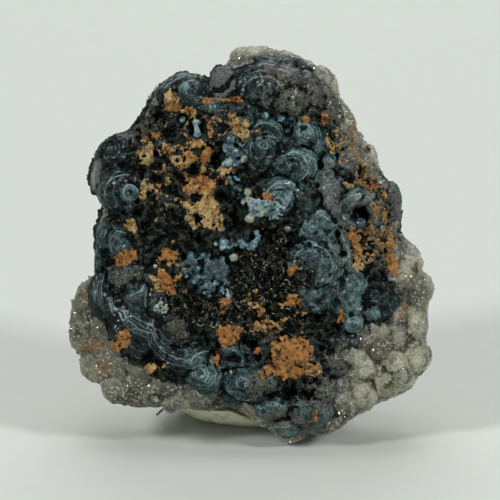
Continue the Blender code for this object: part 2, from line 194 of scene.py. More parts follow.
RIM = (
    (-0.2, 25.4), (2.1, 25.3), (3.7, 24.8), (5.7, 24.3), (7.6, 23.6), (8.9, 22.5), (9.9, 21.7),
    (11.4, 18.7), (12.5, 16.4), (13.4, 15.0), (15.3, 12.2), (16.1, 10.2), (16.8, 9.1), (18.3, 8.0),
    (18.9, 7.0), (19.0, 5.3), (18.8, 2.2), (19.7, 1.1), (20.7, 0.1), (21.5, -1.5), (21.4, -2.5),
    (22.5, -3.8), (22.6, -5.1), (21.9, -6.6), (22.3, -8.1), (22.0, -9.7), (21.9, -11.3), (22.4, -13.0),
    (22.3, -14.6), (21.2, -15.6), (20.1, -17.2), (18.8, -17.9), (16.1, -19.0), (12.9, -20.8), (10.9, -22.1),
    (9.6, -23.0), (7.6, -22.8), (6.7, -23.3), (5.3, -23.9), (4.0, -23.4), (2.7, -22.5), (-0.3, -20.5),
    (-2.5, -19.4), (-4.4, -19.6), (-10.4, -19.4), (-14.4, -19.5), (-16.3, -19.1), (-17.5, -18.4),
    (-18.5, -16.9), (-19.8, -15.6), (-20.7, -14.0), (-21.3, -12.0), (-22.3, -10.4), (-22.5, -9.1),
    (-22.1, -7.8), (-21.6, -5.1), (-20.8, -4.2), (-18.8, -3.5), (-19.0, -2.5), (-19.5, 2.1), (-18.8, 5.0),
    (-18.4, 6.0), (-19.8, 7.0), (-20.3, 9.9), (-19.8, 11.2), (-18.8, 12.5), (-16.7, 14.3), (-15.2, 15.1),
    (-13.9, 16.8), (-12.0, 19.7), (-11.2, 20.9), (-9.0, 22.2), (-7.1, 22.2), (-5.3, 21.5), (-4.9, 22.0),
    (-2.8, 23.2), (-1.9, 24.9),
)

# The crust ends with the rim on the left side
CRUST_RIM = (
    (-2.3, 23.1), (0.6, 23.5), (1.9, 24.0), (4.4, 23.6), (6.3, 23.1), (7.8, 22.3), (9.0, 21.0),
    (10.0, 18.8), (11.0, 16.9), (12.1, 14.6), (13.5, 12.3), (14.8, 10.6), (16.9, 8.8), (18.6, 7.5),
    (19.0, 5.0), (18.9, 2.5), (18.9, 0.6), (18.3, -1.5), (17.6, -3.8), (18.4, -6.0), (17.3, -8.1),
    (15.3, -9.4), (13.5, -10.3), (12.5, -11.9), (12.0, -14.0), (11.5, -16.3), (10.8, -18.1), (9.5, -20.0),
    (7.8, -21.8), (5.6, -23.0), (3.8, -22.5), (1.9, -21.3), (0.0, -20.0), (-2.5, -19.0), (-5.0, -18.0),
    (-7.5, -17.3), (-10.6, -16.8), (-13.8, -15.5), (-16.5, -13.8), (-18.3, -11.9), (-19.4, -9.4),
    (-20.0, -6.9), (-19.6, -4.8), (-19.0, -3.5),
) + RIM[-19:-2]


def reaches(outline):
    """A function that gives how far the outline is from the middle of the face in each direction."""
    points = np.array(outline)
    angles = np.arctan2(points[:, 1], points[:, 0])
    order = np.argsort(angles)
    far = np.hypot(points[:, 0], points[:, 1])
    return lambda angle: np.interp(angle, angles[order], far[order], period=2 * math.pi)


rim_reach = reaches(RIM)
crust_reach = reaches(CRUST_RIM)


def share_of(reach, across, up):
    """How far out a place is, as a share of the way to the outline."""
    return np.hypot(across, up) / reach(np.arctan2(up, across))


def depth_at(across, up, bulge=FRONT_BULGE):
    """How far the plain lens stands out of the plane of its rim at this place, in mm."""
    left = np.clip(1 - share_of(rim_reach, across, up) ** SQUARENESS, 0, 1)
    return bulge * left ** (1 / SQUARENESS)


def lens(reach, front, back):
    """A sphere drawn out to the outline. front and back give the depth from a place and its share of the
    height."""
    body = bmesh.new()
    bmesh.ops.create_uvsphere(body, u_segments=CORE_SEGMENTS, v_segments=CORE_RINGS, radius=1)
    for vert in body.verts:
        flat = math.hypot(vert.co.x, vert.co.y)
        angle = math.atan2(vert.co.y, vert.co.x)
        out = float(reach(angle)) * flat ** (2 / SQUARENESS)
        high = abs(vert.co.z) ** (2 / SQUARENESS)
        across, up = out * math.cos(angle), out * math.sin(angle)
        shape = front if vert.co.z > 0 else back
        vert.co = Vector((across, up, shape(across, up, high)))
    return body


RIM_WAVE = 0.8


def rim_wave(points):
    """How far the rim is bent out of its plane, so that the seam between crust and quartz isn't straight."""
    flat = points * (1, 1, 0)
    near_rim = rising(share_of(rim_reach, points[:, 0], points[:, 1]), 0.75, 5)
    return RIM_WAVE * near_rim * rough(flat, 3.4, 77)


print("rim of", len(RIM), "points and crust of", len(CRUST_RIM))

# %% [markdown]
# Chalcedony grows outwards from many points at once, so the crust is a heap of mounds that met along
# creases. Each mound here also says how its growth bands look: how far apart they are, how bright their
# lines are, how light the stone between them is, and where their middle, the eye, lies when it isn't the
# middle of the mound.


# %% The mounds of the crust
class Mound(NamedTuple):
    across: float
    up: float
    half_width: float
    half_height: float
    rise: float
    turn: float = 0
    pitch: float = 0.6
    lines: float = 0.5
    tone: float = 0.0
    sparkle: float = 0.0
    eye: tuple = None


CRUST_MOUNDS = [Mound(*row) for row in (
    # The crown and its shoulders
    (2.8, 19.6, 5.4, 3.9, 1.9, -4, 0.85, 0.35, -0.68, 0.6, (1.6, 18.9)),
    (1.6, 20.2, 2.4, 2.1, 2.8, 10, 0.78, 0.2, -0.05, 0.6, (1.2, 19.6)),
    (4.9, 18.4, 2.3, 2.1, 2.5, 0, 0.6, 0.3, 0.1, 0.8),
    (3.6, 22.9, 4.2, 1.3, 1.1, -8, 0.5, 0.7, -0.2, 0.0, (2.8, 20.0)),
    (7.4, 19.6, 1.7, 2.8, 1.3, 20, 0.7, 0.3, 0.0, 0.9),
    (-1.7, 16.7, 3.4, 1.8, 1.4, 6, 0.5, 0.3, -0.2, 0.7),
    (-0.9, 15.5, 1.5, 0.9, 1.8, 4, 0.32, 0.9, 0.0, 0.0, (-0.9, 14.9)),
    (5.3, 17.6, 1.3, 1.3, 2.2, 0, 0.5, 0.3, 0.5, 1.0),
    (10.2, 17.0, 1.3, 3.0, 0.5, 22, 0.5, 0.3, 0.25, 0.6),
    # The wedge at the upper left
    (-7.1, 19.4, 2.1, 2.3, 1.5, 0, 0.9, 0.4, -0.25, 0.3),
    (-8.0, 20.0, 0.9, 1.1, 2.0, -35, 0.9, 0.2, 0.75, 0.0),
    (-9.6, 20.3, 2.5, 0.9, 0.7, 38, 0.42, 0.5, -0.5, 0.5, (-8.0, 17.0)),
    (-4.6, 17.5, 1.2, 1.1, 1.3, 0, 0.5, 0.4, 0.2, 0.3),
    # Down the left side
    (-16.3, 11.9, 3.0, 2.3, 1.1, 30, 0.6, 0.1, -0.7, 1.0),
    (-15.6, 7.3, 3.1, 3.1, 1.5, 0, 0.95, 0.55, -0.55, 0.3, (-14.9, 6.9)),
    (-14.8, 6.9, 1.3, 1.3, 2.0, 0, 0.42, 0.9, 0.1, 0.0),
    (-17.8, 1.9, 1.2, 2.0, 0.9, 0, 0.9, 0.5, 0.1, 0.2),
    (-16.0, 0.8, 1.5, 2.0, 1.3, 12, 0.9, 0.6, 0.15, 0.1),
    (-18.3, -1.9, 1.0, 2.6, 0.5, 0, 0.6, 0.4, 0.1, 0.2),
    (-15.2, -3.0, 2.3, 1.8, 1.3, 0, 0.6, 0.2, -0.1, 0.9),
    (-13.7, -6.2, 1.9, 2.5, 1.7, -20, 0.62, 1.0, -0.35, 0.0, (-12.9, -4.0)),
    (-11.6, -6.4, 1.2, 2.4, 1.2, 10, 0.55, 0.9, -0.2, 0.0, (-12.8, -3.8)),
    (-18.0, -6.3, 2.0, 3.4, 0.6, 8, 0.42, 0.8, -0.7, 0.0, (-22.0, -5.5)),
    (-13.6, -9.4, 4.6, 3.8, 1.5, -35, 0.55, 0.7, -0.82, 0.0, (-9.6, -5.6)),
    (-9.3, -9.6, 3.4, 3.2, 1.2, 0, 0.6, 0.6, -0.7, 0.4, (-9.4, -9.0)),
    (-16.2, -10.2, 1.7, 2.0, 1.4, 20, 0.6, 0.2, -0.5, 0.4),
    (-8.8, -13.0, 4.2, 1.9, 0.8, -30, 0.45, 0.5, -0.7, 0.2, (-9.6, -6.4)),
    # Along the foot
    (-6.8, -13.4, 1.6, 1.4, 2.0, 0, 0.7, 0.6, 0.35, 0.0),
    (-5.5, -15.3, 2.1, 2.4, 2.0, 20, 0.5, 1.0, 0.2, 0.0, (-6.1, -15.1)),
    (-1.8, -13.1, 1.6, 1.5, 2.0, 0, 0.4, 0.3, 0.0, 1.0),
    (0.2, -16.1, 3.4, 2.4, 1.9, 0, 0.6, 0.3, 0.1, 0.7, (-1.0, -16.3)),
    (-2.2, -18.2, 1.4, 1.3, 0.9, 0, 1.1, 0.6, 0.15, 0.0, (-3.4, -20.2)),
    (2.7, -19.2, 2.1, 1.8, 1.7, 0, 0.7, 0.7, 0.15, 0.1),
    (4.6, -21.6, 1.9, 1.5, 0.5, 0, 0.4, 0.3, 0.4, 0.8, (5.4, -20.4)),
    (7.6, -19.6, 3.0, 2.4, 1.5, 10, 0.6, 0.2, 0.35, 1.0),
    (9.4, -17.4, 1.6, 1.6, 1.3, 0, 0.5, 0.2, 0.3, 1.0),
    # Right of the middle
    (2.3, 14.2, 2.5, 1.9, 1.6, -10, 0.9, 0.8, 0.1, 0.0),
    (1.7, 12.2, 2.4, 2.6, 2.2, 0, 0.75, 0.9, -0.05, 0.3, (1.7, 12.6)),
    (5.2, 10.4, 3.2, 2.7, 2.1, -20, 0.5, 1.0, 0.05, 0.1, (4.3, 10.3)),
    (4.2, 10.4, 1.9, 1.8, 2.7, 0, 0.6, 0.9, -0.2, 0.6),
    (3.5, 7.9, 1.6, 1.0, 2.0, 0, 0.4, 0.9, 0.1, 0.0, (4.0, 5.8)),
    (3.9, 6.0, 2.0, 1.6, 2.1, 0, 0.4, 1.2, -0.05, 0.0, (3.9, 6.0)),
    (6.7, 6.3, 1.9, 2.4, 1.9, 0, 0.8, 0.4, -0.3, 0.3),
    (6.6, 14.4, 1.4, 1.6, 1.9, 20, 0.6, 0.3, 0.6, 0.8),
    (8.2, 13.4, 1.5, 2.6, 1.4, 25, 0.4, 1.0, 0.15, 0.0, (6.2, 13.8)),
    (11.4, 13.6, 1.3, 1.3, 1.6, 0, 0.5, 0.4, 0.3, 0.4),
    (11.9, 10.6, 1.3, 1.7, 1.5, 0, 0.45, 0.5, 0.2, 0.2),
    (9.7, 10.9, 1.0, 1.0, 2.2, 0, 0.34, 0.9, 0.25, 0.0),
    (9.5, 9.2, 1.0, 0.9, 1.9, 0, 0.5, 0.3, 0.2, 0.2),
    (9.2, 8.6, 1.45, 1.8, 1.7, 8, 0.7, 0.1, 0.4, 0.1),
    (9.5, 7.3, 1.5, 1.9, 1.75, 10, 0.7, 0.1, 0.4, 0.1),
    (9.8, 6.0, 1.4, 1.9, 1.75, 16, 0.7, 0.1, 0.4, 0.1),
    (10.4, 4.9, 1.2, 1.7, 1.75, 28, 0.7, 0.1, 0.4, 0.1),
    (11.2, 3.9, 1.05, 1.4, 1.7, 50, 0.8, 0.1, 0.4, 0.1),
    (12.3, 3.2, 1.3, 0.8, 1.6, 10, 0.8, 0.1, 0.4, 0.1),
    (12.0, 5.7, 0.9, 1.1, 1.9, -20, 0.5, 0.5, 0.3, 0.2, (13.4, 4.0)),
    (12.9, 6.5, 1.1, 0.9, 1.9, 0, 0.5, 0.5, 0.3, 0.2, (13.4, 4.0)),
    (14.1, 6.2, 1.1, 0.95, 1.8, -25, 0.5, 0.5, 0.3, 0.2, (13.4, 4.0)),
    (15.0, 5.2, 0.95, 1.1, 1.7, 10, 0.5, 0.5, 0.3, 0.2, (13.4, 4.0)),
    (15.4, 3.9, 0.9, 1.1, 1.6, 0, 0.5, 0.5, 0.3, 0.3, (13.4, 4.0)),
    (15.2, 2.2, 1.3, 2.0, 1.2, 0, 0.6, 0.4, 0.2, 0.2),
    (8.5, 1.7, 2.5, 3.7, 2.2, -6, 0.55, 0.5, 0.45, 0.3, (7.5, -1.9)),
    (7.5, -1.9, 3.0, 3.0, 2.8, 0, 0.5, 0.8, 0.35, 0.7, (7.5, -1.9)),
    (9.0, -0.9, 3.2, 4.2, 2.0, 8, 0.45, 0.9, 0.45, 0.2, (7.5, -1.9)),
    (11.6, 0.4, 1.2, 4.3, 1.7, 10, 0.5, 0.3, 0.3, 1.0),
    # Below them
    (8.4, -5.6, 2.3, 1.8, 1.3, 0, 0.6, 0.4, 0.3, 0.5),
    (12.3, -5.2, 1.9, 3.5, 1.4, -15, 0.8, 0.4, 0.4, 0.0),
    (15.9, -7.0, 2.6, 2.6, 1.3, 0, 0.5, 0.1, -0.4, 1.0),
    (15.0, -7.8, 0.9, 0.9, 2.1, 0, 0.5, 0.3, 0.4, 0.2),
    (12.8, -9.2, 1.2, 1.2, 1.7, 0, 0.4, 0.7, 0.35, 0.1),
    (11.6, -11.3, 2.0, 1.3, 0.9, 0, 0.7, 0.3, -0.1, 0.8),
    (10.6, -13.9, 1.8, 1.8, 1.1, 0, 0.6, 0.3, 0.0, 0.4),
    (17.6, 5.6, 1.2, 2.8, 0.2, 0, 0.4, 0.0, 0.3, 1.0),
    # The middle
    (-8.6, 12.4, 2.8, 2.2, 1.1, 0, 0.7, 0.2, -0.2, 0.5),
    (-5.2, 4.6, 2.8, 3.3, 1.0, 0, 0.7, 0.0, -0.6, 0.2),
    (-10.3, 4.0, 3.2, 3.4, 0.8, 0, 0.7, 0.1, -0.7, 0.3),
    (5.6, -12.6, 4.0, 3.0, 0.7, 0, 0.7, 0.0, -0.2, 0.2),
    (-2.9, -9.6, 2.6, 2.0, 0.8, 0, 0.7, 0.1, -0.3, 0.3),
)]

FACE_HOLLOWS = (
    (2.9, 1.2, 2.6, 2.2, 3.4), (-1.9, 4.1, 1.5, 1.9, 2.0), (1.2, -5.6, 4.6, 3.8, 1.3),
    (9.0, 2.4, 0.8, 0.8, 0.4), (-8.2, 16.2, 1.5, 1.4, 1.5), (14.8, 1.0, 1.3, 1.5, 1.2),
    (7.0, -18.0, 2.6, 0.7, 1.3), (4.6, 15.0, 3.8, 0.8, 1.1), (-2.3, -13.4, 1.6, 0.9, 1.6),
    (-12.0, -13.4, 2.0, 1.0, 0.9), (16.9, -9.0, 1.0, 1.2, 0.8),
)
HOLLOW_STEEPNESS = 1.2
# Each pit: (across, up, radius, depth)
FACE_PITS = (
    (-12.9, 11.5, 0.35, 1.2), (-11.6, 11.8, 0.35, 1.2), (-6.4, 4.0, 0.55, 1.4), (-6.6, 6.4, 0.6, 1.2),
    (0.5, -11.6, 0.6, 1.6), (7.6, 22.5, 0.5, 0.8), (9.1, 19.0, 0.4, 0.8), (13.6, 4.4, 1.0, 2.2),
    (13.8, 14.6, 0.4, 0.8), (14.6, 12.4, 0.45, 0.9), (-6.5, 15.0, 1.1, 2.4), (-8.4, 16.0, 0.8, 1.0),
    (-9.4, 7.4, 0.7, 1.0), (-11.4, 8.8, 0.6, 1.0), (-4.0, 10.9, 0.8, 1.3), (-3.2, 6.6, 0.9, 1.2),
    (-9.9, 14.6, 0.9, 0.8), (-11.2, 16.3, 0.8, 0.9), (-5.8, -6.3, 1.4, 0.7), (-1.5, -8.0, 1.0, 0.7),
    (10.8, 1.9, 0.4, 0.7), (11.4, -0.4, 0.5, 0.9), (13.6, 6.9, 0.9, 0.7), (12.2, 9.0, 0.7, 0.7),
    (14.0, -3.3, 1.2, 0.6), (3.0, -7.8, 0.8, 0.6), (8.6, -8.8, 0.8, 0.6), (10.2, -9.9, 0.7, 0.8),
    (4.5, 14.6, 0.7, 1.4), (7.6, 11.9, 0.6, 0.8), (-13.6, 9.8, 0.8, 0.6), (-14.0, 4.4, 0.6, 0.8),
    (-12.4, -1.6, 0.9, 0.8), (-13.8, -11.6, 1.0, 0.5), (-8.6, -10.6, 0.7, 0.4), (4.5, -17.6, 1.2, 0.9),
    (-0.6, -11.0, 0.5, 0.6), (-7.0, 9.8, 0.7, 0.8), (-4.2, 1.2, 0.8, 0.8), (-7.4, 1.8, 0.6, 0.6),
)
PIT_STEEPNESS = 3
MOUND_SPREAD = 1.08
MOUND_LIFT = 0.85
MOUND_DEPTH = 0.4
MOUND_DEPTH_PER_RISE = 0.5


def half_depth(mound):
    return MOUND_DEPTH * (mound.half_width + mound.half_height) + MOUND_DEPTH_PER_RISE * max(mound.rise, 0)


def half_sizes(mound):
    return MOUND_SPREAD * mound.half_width, MOUND_SPREAD * mound.half_height, half_depth(mound)


def middle_of(mound):
    top = float(depth_at(mound.across, mound.up)) + MOUND_LIFT * mound.rise
    return np.array((mound.across, mound.up, top - half_depth(mound)))


def add_ball(body, middle, half_sizes, turn=0.0, finer=4):
    """Adds an ellipsoid to the body. The voxels fuse it with the others later."""
    place = (
        Matrix.Translation(middle) @ Matrix.Rotation(math.radians(turn), 4, "Z")
        @ Matrix.Diagonal((*half_sizes, 1))
    )
    bmesh.ops.create_icosphere(body, subdivisions=finer, radius=1, matrix=place)


def sunk_by(points):
    """How far the hollows sink the face at each point, in mm."""
    total = np.zeros(len(points))
    for across, up, half_width, half_height, depth in FACE_HOLLOWS:
        share = ((points[:, 0] - across) / half_width) ** 2 + ((points[:, 1] - up) / half_height) ** 2
        total += depth * np.exp(-share * HOLLOW_STEEPNESS)
    return total + pitted_by(points)


def pitted_by(points):
    """How far the small steep pits sink the face at each point, in mm."""
    total = np.zeros(len(points))
    for across, up, radius, depth in FACE_PITS:
        share = np.hypot(points[:, 0] - across, points[:, 1] - up) / radius
        total = np.maximum(total, depth * np.exp(-share**PIT_STEEPNESS))
    return total


print(len(CRUST_MOUNDS), "mounds")

# %% [markdown]
# Overlapping shapes become one skin with a voxel Remesh, as clay lumps are pressed together. Decimate then
# spends the triangles where the surface is rough, and takes them from smooth and hidden parts.


# %% Fuse and thin
def evaluated(obj):
    graph = bpy.context.evaluated_depsgraph_get()
    return bpy.data.meshes.new_from_object(obj.evaluated_get(graph))


def with_modifier(mesh, kind, **settings):
    """The mesh after one modifier."""
    holder = bpy.data.objects.new("holder", mesh)
    bpy.context.scene.collection.objects.link(holder)
    modifier = holder.modifiers.new("step", kind)
    for name, value in settings.items():
        setattr(modifier, name, value)
    done = evaluated(holder)
    bpy.data.objects.remove(holder)
    return done


def as_mesh(body, name="shape"):
    mesh = bpy.data.meshes.new(name)
    body.to_mesh(mesh)
    body.free()
    return mesh


def fused(body, voxel):
    return with_modifier(as_mesh(body), "REMESH", mode="VOXEL", voxel_size=voxel)


def ball_mesh(finer):
    """A round ball of radius 1."""
    body = bmesh.new()
    bmesh.ops.create_icosphere(body, subdivisions=finer, radius=1)
    return as_mesh(body, "ball")


def thinned(mesh, most):
    """The mesh with at most this many triangles."""
    now = triangles(mesh)
    return mesh if now <= most else with_modifier(mesh, "DECIMATE", ratio=most / now)


def smoothed(mesh, rounds):
    """Where the vertices come to when each moves to the middle of its neighbours, so many times."""
    ends = np.empty(len(mesh.edges) * 2, np.int32)
    mesh.edges.foreach_get("vertices", ends)
    ends = ends.reshape(-1, 2)
    at = places(mesh)
    count = np.bincount(ends.ravel(), minlength=len(at)).clip(1)
    for _ in range(rounds):
        total = [
            np.bincount(ends[:, 0], at[ends[:, 1], axis], len(at))
            + np.bincount(ends[:, 1], at[ends[:, 0], axis], len(at))
            for axis in range(3)
        ]
        at = np.stack(total, axis=1) / count[:, None]
    return at


# %% [markdown]
# Small things that repeat hundreds of times are copies of one small shape. Geometry Nodes place the copies
# on points that carry a turn and a size, and make them real, so the result is one plain mesh.


# %% Scatter copies
def scattered(kernel, spots, turns, sizes, **numbers):
    """Copies of the kernel mesh, one for each row of spots. turns are Euler angles, and numbers go along."""
    cloud = bpy.data.meshes.new("cloud")
    cloud.vertices.add(len(spots))
    move_to(cloud, np.asarray(spots))
    for name, values in (("turn", turns), ("size", sizes)):
        layer = cloud.attributes.new(name, "FLOAT_VECTOR", "POINT")
        layer.data.foreach_set("vector", np.asarray(values, np.float32).ravel())
    keep(cloud, **numbers)
    holder = bpy.data.objects.new("kernel", kernel)
    bpy.context.scene.collection.objects.link(holder)
    tree = bpy.data.node_groups.new("copies", "GeometryNodeTree")
    tree.interface.new_socket("Geometry", in_out="INPUT", socket_type="NodeSocketGeometry")
    tree.interface.new_socket("Geometry", in_out="OUTPUT", socket_type="NodeSocketGeometry")
    start = tree.nodes.new("NodeGroupInput")
    end = tree.nodes.new("NodeGroupOutput")
    shape = tree.nodes.new("GeometryNodeObjectInfo")
    shape.inputs["Object"].default_value = holder
    copies = tree.nodes.new("GeometryNodeInstanceOnPoints")
    real = tree.nodes.new("GeometryNodeRealizeInstances")
    tree.links.new(start.outputs[0], copies.inputs["Points"])
    tree.links.new(shape.outputs["Geometry"], copies.inputs["Instance"])
    for name, socket in (("turn", "Rotation"), ("size", "Scale")):
        read = tree.nodes.new("GeometryNodeInputNamedAttribute")
        read.data_type = "FLOAT_VECTOR"
        read.inputs["Name"].default_value = name
        tree.links.new(read.outputs["Attribute"], copies.inputs[socket])
    tree.links.new(copies.outputs[0], real.inputs[0])
    tree.links.new(real.outputs[0], end.inputs[0])
    done = with_modifier(cloud, "NODES", node_group=tree)
    bpy.data.objects.remove(holder)
    for name in ("turn", "size"):
        done.attributes.remove(done.attributes[name])
    return done


def sampled(mesh, count, chance, seed):
    """Places and normals on a mesh, picked at random. chance says how likely a triangle is for its area."""
    mesh.calc_loop_triangles()
    corners = np.empty(len(mesh.loop_triangles) * 3, np.int32)
    mesh.loop_triangles.foreach_get("vertices", corners)
    corners = corners.reshape(-1, 3)
    points = places(mesh)
    normals = directions(mesh)
    first, second, third = points[corners[:, 0]], points[corners[:, 1]], points[corners[:, 2]]
    area = np.linalg.norm(np.cross(second - first, third - first), axis=1)
    weight = area * np.clip(chance(points, normals), 0, None)[corners].mean(axis=1)
    dice = np.random.default_rng(seed)
    picked = dice.choice(len(corners), count, p=weight / weight.sum())
    spread = dice.dirichlet((1, 1, 1), count)
    spots = (points[corners[picked]] * spread[:, :, None]).sum(axis=1)
    out = (normals[corners[picked]] * spread[:, :, None]).sum(axis=1)
    return spots, out / np.linalg.norm(out, axis=1)[:, None].clip(1e-6), dice


def turns_towards(axes, dice):
    """Euler angles that stand each copy's z along its axis, spun at random."""
    spins = dice.uniform(0, 2 * math.pi, len(axes))
    return [
        (Vector(axis).to_track_quat("Z", "Y").to_matrix() @ Matrix.Rotation(spin, 3, "Z")).to_euler()
        for axis, spin in zip(axes, spins)
    ]


# %% [markdown]
# Colour follows place: clay here, bright blue there. Each such patch is an ellipse on the face, given once
# by its middle, its half sizes and its turn. A patch's field is 0.5 on its edge and more inside, so that
# noise added to the field later makes the edge ragged.


# %% Patches on the face
def patch_field(points, patches, softness=0.5):
    """The highest field of all the patches at each point. It is 0.5 on an edge, and falls to 0 outside."""
    highest = np.zeros(len(points))
    for across, up, half_width, half_height, turn in patches:
        right, high = along_turned(points[:, 0] - across, points[:, 1] - up, turn)
        far = np.hypot(right / half_width, high / half_height)
        highest = np.maximum(highest, np.clip(0.5 + (1 - far) * softness, 0, 1))
    return highest


CREAM_CLAY = (
    (-9.8, 19.0, 1.0, 0.9, 0), (-12.7, 11.5, 0.9, 1.4, 0), (-13.0, 7.3, 0.5, 1.2, 0),
    (-5.7, 4.9, 2.6, 2.4, 0), (-14.6, 3.0, 0.7, 0.9, 20), (-0.8, 14.3, 0.8, 0.6, 20),
    (-12.2, -14.6, 1.6, 0.5, 12), (7.9, -14.6, 1.0, 0.8, 0), (-6.5, 15.0, 1.9, 1.8, 0),
    (13.4, -1.8, 0.8, 1.0, 0), (9.9, 13.1, 0.4, 1.2, 20), (-3.4, 9.9, 1.5, 0.5, -12),
    (12.0, 8.0, 0.9, 0.3, -10),
)
ORANGE_CLAY = (
    (-9.6, 17.7, 1.1, 0.5, -15), (-5.3, 12.0, 0.7, 1.6, -25), (-5.9, 7.7, 2.0, 1.4, 0),
    (-15.2, -0.9, 1.5, 1.0, 20), (-10.0, -0.5, 0.7, 0.8, 0), (-10.1, -3.8, 0.6, 1.9, 32),
    (-15.4, -10.7, 0.9, 1.0, 0), (-17.2, -11.9, 1.6, 0.7, -8), (-20.0, -12.3, 0.6, 0.6, 0),
    (-2.7, -10.4, 1.6, 1.2, 15), (-4.1, -13.4, 0.5, 0.9, 0), (-3.1, -6.4, 0.9, 0.5, 20),
    (5.4, -12.4, 2.7, 2.1, -10), (5.0, -14.9, 3.6, 0.9, 5), (5.4, -6.3, 0.9, 0.8, -30),
    (5.1, -2.6, 0.5, 0.7, 0), (17.6, -1.5, 1.1, 1.2, 0), (13.0, 0.9, 0.5, 1.5, 10),
    (8.1, -20.4, 0.35, 0.95, 5), (0.8, -12.2, 0.6, 0.9, 20), (2.1, 6.4, 0.7, 0.5, -35),
    (6.8, 16.0, 0.7, 0.4, 0), (-5.3, 18.4, 0.8, 0.4, 0), (-2.2, 18.5, 1.6, 0.3, 0),
    (12.8, 14.0, 0.3, 0.9, 15), (14.9, 9.6, 0.3, 0.9, 20), (16.6, 4.0, 0.35, 1.0, 5),
    (9.3, 16.0, 0.6, 0.8, 0), (-7.9, 15.4, 0.5, 1.5, 0), (-5.0, 15.0, 0.5, 1.5, 0),
    (-6.5, 13.1, 1.4, 0.45, 0), (-7.5, 17.2, 0.9, 0.5, 0), (-11.0, 14.3, 1.2, 0.5, 12),
    (12.4, 2.0, 0.4, 0.8, 0), (11.2, -8.2, 0.4, 1.1, -10),
)
BLACK_CRUMBLE = (
    (-8.6, 12.6, 2.6, 2.0, 0), (-9.6, 8.6, 2.4, 2.2, 0), (-9.2, 3.2, 3.4, 3.4, 0),
    (-12.6, 4.6, 1.8, 2.4, 0), (1.6, -4.6, 5.4, 4.0, 0), (-4.6, -7.4, 4.2, 2.0, 0),
    (-0.6, -9.0, 3.0, 1.8, 0), (0.5, 2.0, 3.4, 2.2, 0), (-1.9, 4.6, 1.4, 2.4, 0), (-3.0, 8.6, 1.6, 1.0, 0),
    (4.0, -9.0, 3.0, 1.4, 0), (-8.6, -7.2, 1.4, 1.0, 0), (14.2, 8.4, 1.2, 1.0, 0),
)
SLAB_PATCHES = ((-3.5, 20.8, 1.55, 2.2, -20), (-19.1, 9.4, 0.7, 1.9, -12))
MAUVE = (
    (9.7, 6.8, 1.6, 3.2, 12), (9.6, 9.6, 1.3, 1.6, 0), (12.4, 12.0, 1.6, 2.6, 0), (13.6, 4.8, 2.6, 2.4, 0),
)
BROWN = (
    (4.9, 18.2, 2.6, 2.3, 0), (7.4, 19.4, 1.8, 2.8, 20), (11.6, 0.2, 1.2, 3.4, 10),
    (-15.2, -3.2, 2.2, 1.6, 0), (-8.6, -9.4, 1.6, 1.6, 0), (9.8, 17.4, 1.5, 2.8, 22),
    (2.2, 18.6, 1.4, 1.2, 0), (16.2, 0.4, 1.6, 2.6, 0), (2.0, -10.8, 1.8, 0.9, 0),
    (8.8, -17.6, 3.0, 2.6, 0), (4.4, -21.0, 3.2, 1.6, 0), (11.0, -13.4, 2.0, 2.4, 0),
    (17.6, 5.6, 1.3, 2.8, 0), (1.2, -16.4, 2.2, 1.6, 0), (-13.3, 14.7, 2.4, 1.2, 45),
    (4.0, 21.6, 3.6, 1.6, -6),
)

# Here clay is a lace between grey grains
LACY = (
    (13.9, 9.4, 1.9, 6.6, 22), (15.6, 1.4, 2.4, 3.4, 0), (-12.8, 9.6, 0.8, 2.8, 0), (-9.4, 15.0, 1.6, 1.8, 0),
)
LACE_SIZE = 0.95
LACE_WIDTH = 0.2

# In these wider parts only specks of clay are left
SPECKLED = (
    (-8.0, 9.0, 5.6, 6.6, 0), (-12.8, 12.2, 2.0, 2.6, 0), (13.6, 9.0, 1.8, 8.0, 22),
    (15.6, 1.2, 2.8, 3.4, 0), (-3.2, 15.2, 5.0, 2.2, 0), (1.0, -8.0, 6.0, 3.0, 0),
    (-10.0, -2.6, 3.0, 4.0, 0), (-18.4, -12.2, 2.2, 1.4, 0),
)


def clay_field(points):
    """Over 0.5 where clay lies. Its edge is ragged, and pits have none."""
    patches = np.maximum(patch_field(points, CREAM_CLAY, 0.8), patch_field(points, ORANGE_CLAY, 0.8))
    patches = np.maximum(patches, 0.5 * patch_field(points, SPECKLED, 1.0))
    _, border, _, _ = cells(points, LACE_SIZE, 22)
    lace = 0.22 + 0.36 * np.clip(1.3 - border / LACE_WIDTH, 0, 1)
    patches = np.maximum(patches, np.clip(2 * patch_field(points, LACY, 1.0), 0, 1) * lace)
    ragged = 0.29 * rough(points, 0.9, 21) + 0.13 * rough(points, 0.35, 23, 2)
    return patches + ragged - np.clip(pitted_by(points), 0, 1)


print(len(CREAM_CLAY) + len(ORANGE_CLAY), "patches of clay")

# %% [markdown]
# The crust is the lens's front half with the mounds on it, fused into one skin. Hollows are sunk in it, the
# black parts are crumbled by cells, the druse-covered ones are grained, and each growth band is a fine
# step. The numbers that colour needs are then stored at each vertex of the finished skin. Slabs of quartz
# and a slow sway sideways keep its forms from being all ovals.

# %% The crust's slabs and its sway
CRUST_VOXEL = 0.13
CRUST_TRIANGLES = 190000
CRUST_MELT = 4
CRUST_BACK = 1.2
CRUST_LIFT = 0.25
CRUST_EDGE_DROP = 0.8
CRUST_EDGE_SHARPNESS = 9


# Each slab: (across, up, half width, half height, rise, degrees turned, degrees tipped)
CRUST_SLABS = ((-13.0, 14.4, 2.5, 1.15, 0.2, 45, -22), (-3.5, 20.7, 1.6, 2.1, 0.6, -20, 12))
SLAB_DEPTH = 1.6
SLAB_BLUNTNESS = 0.45


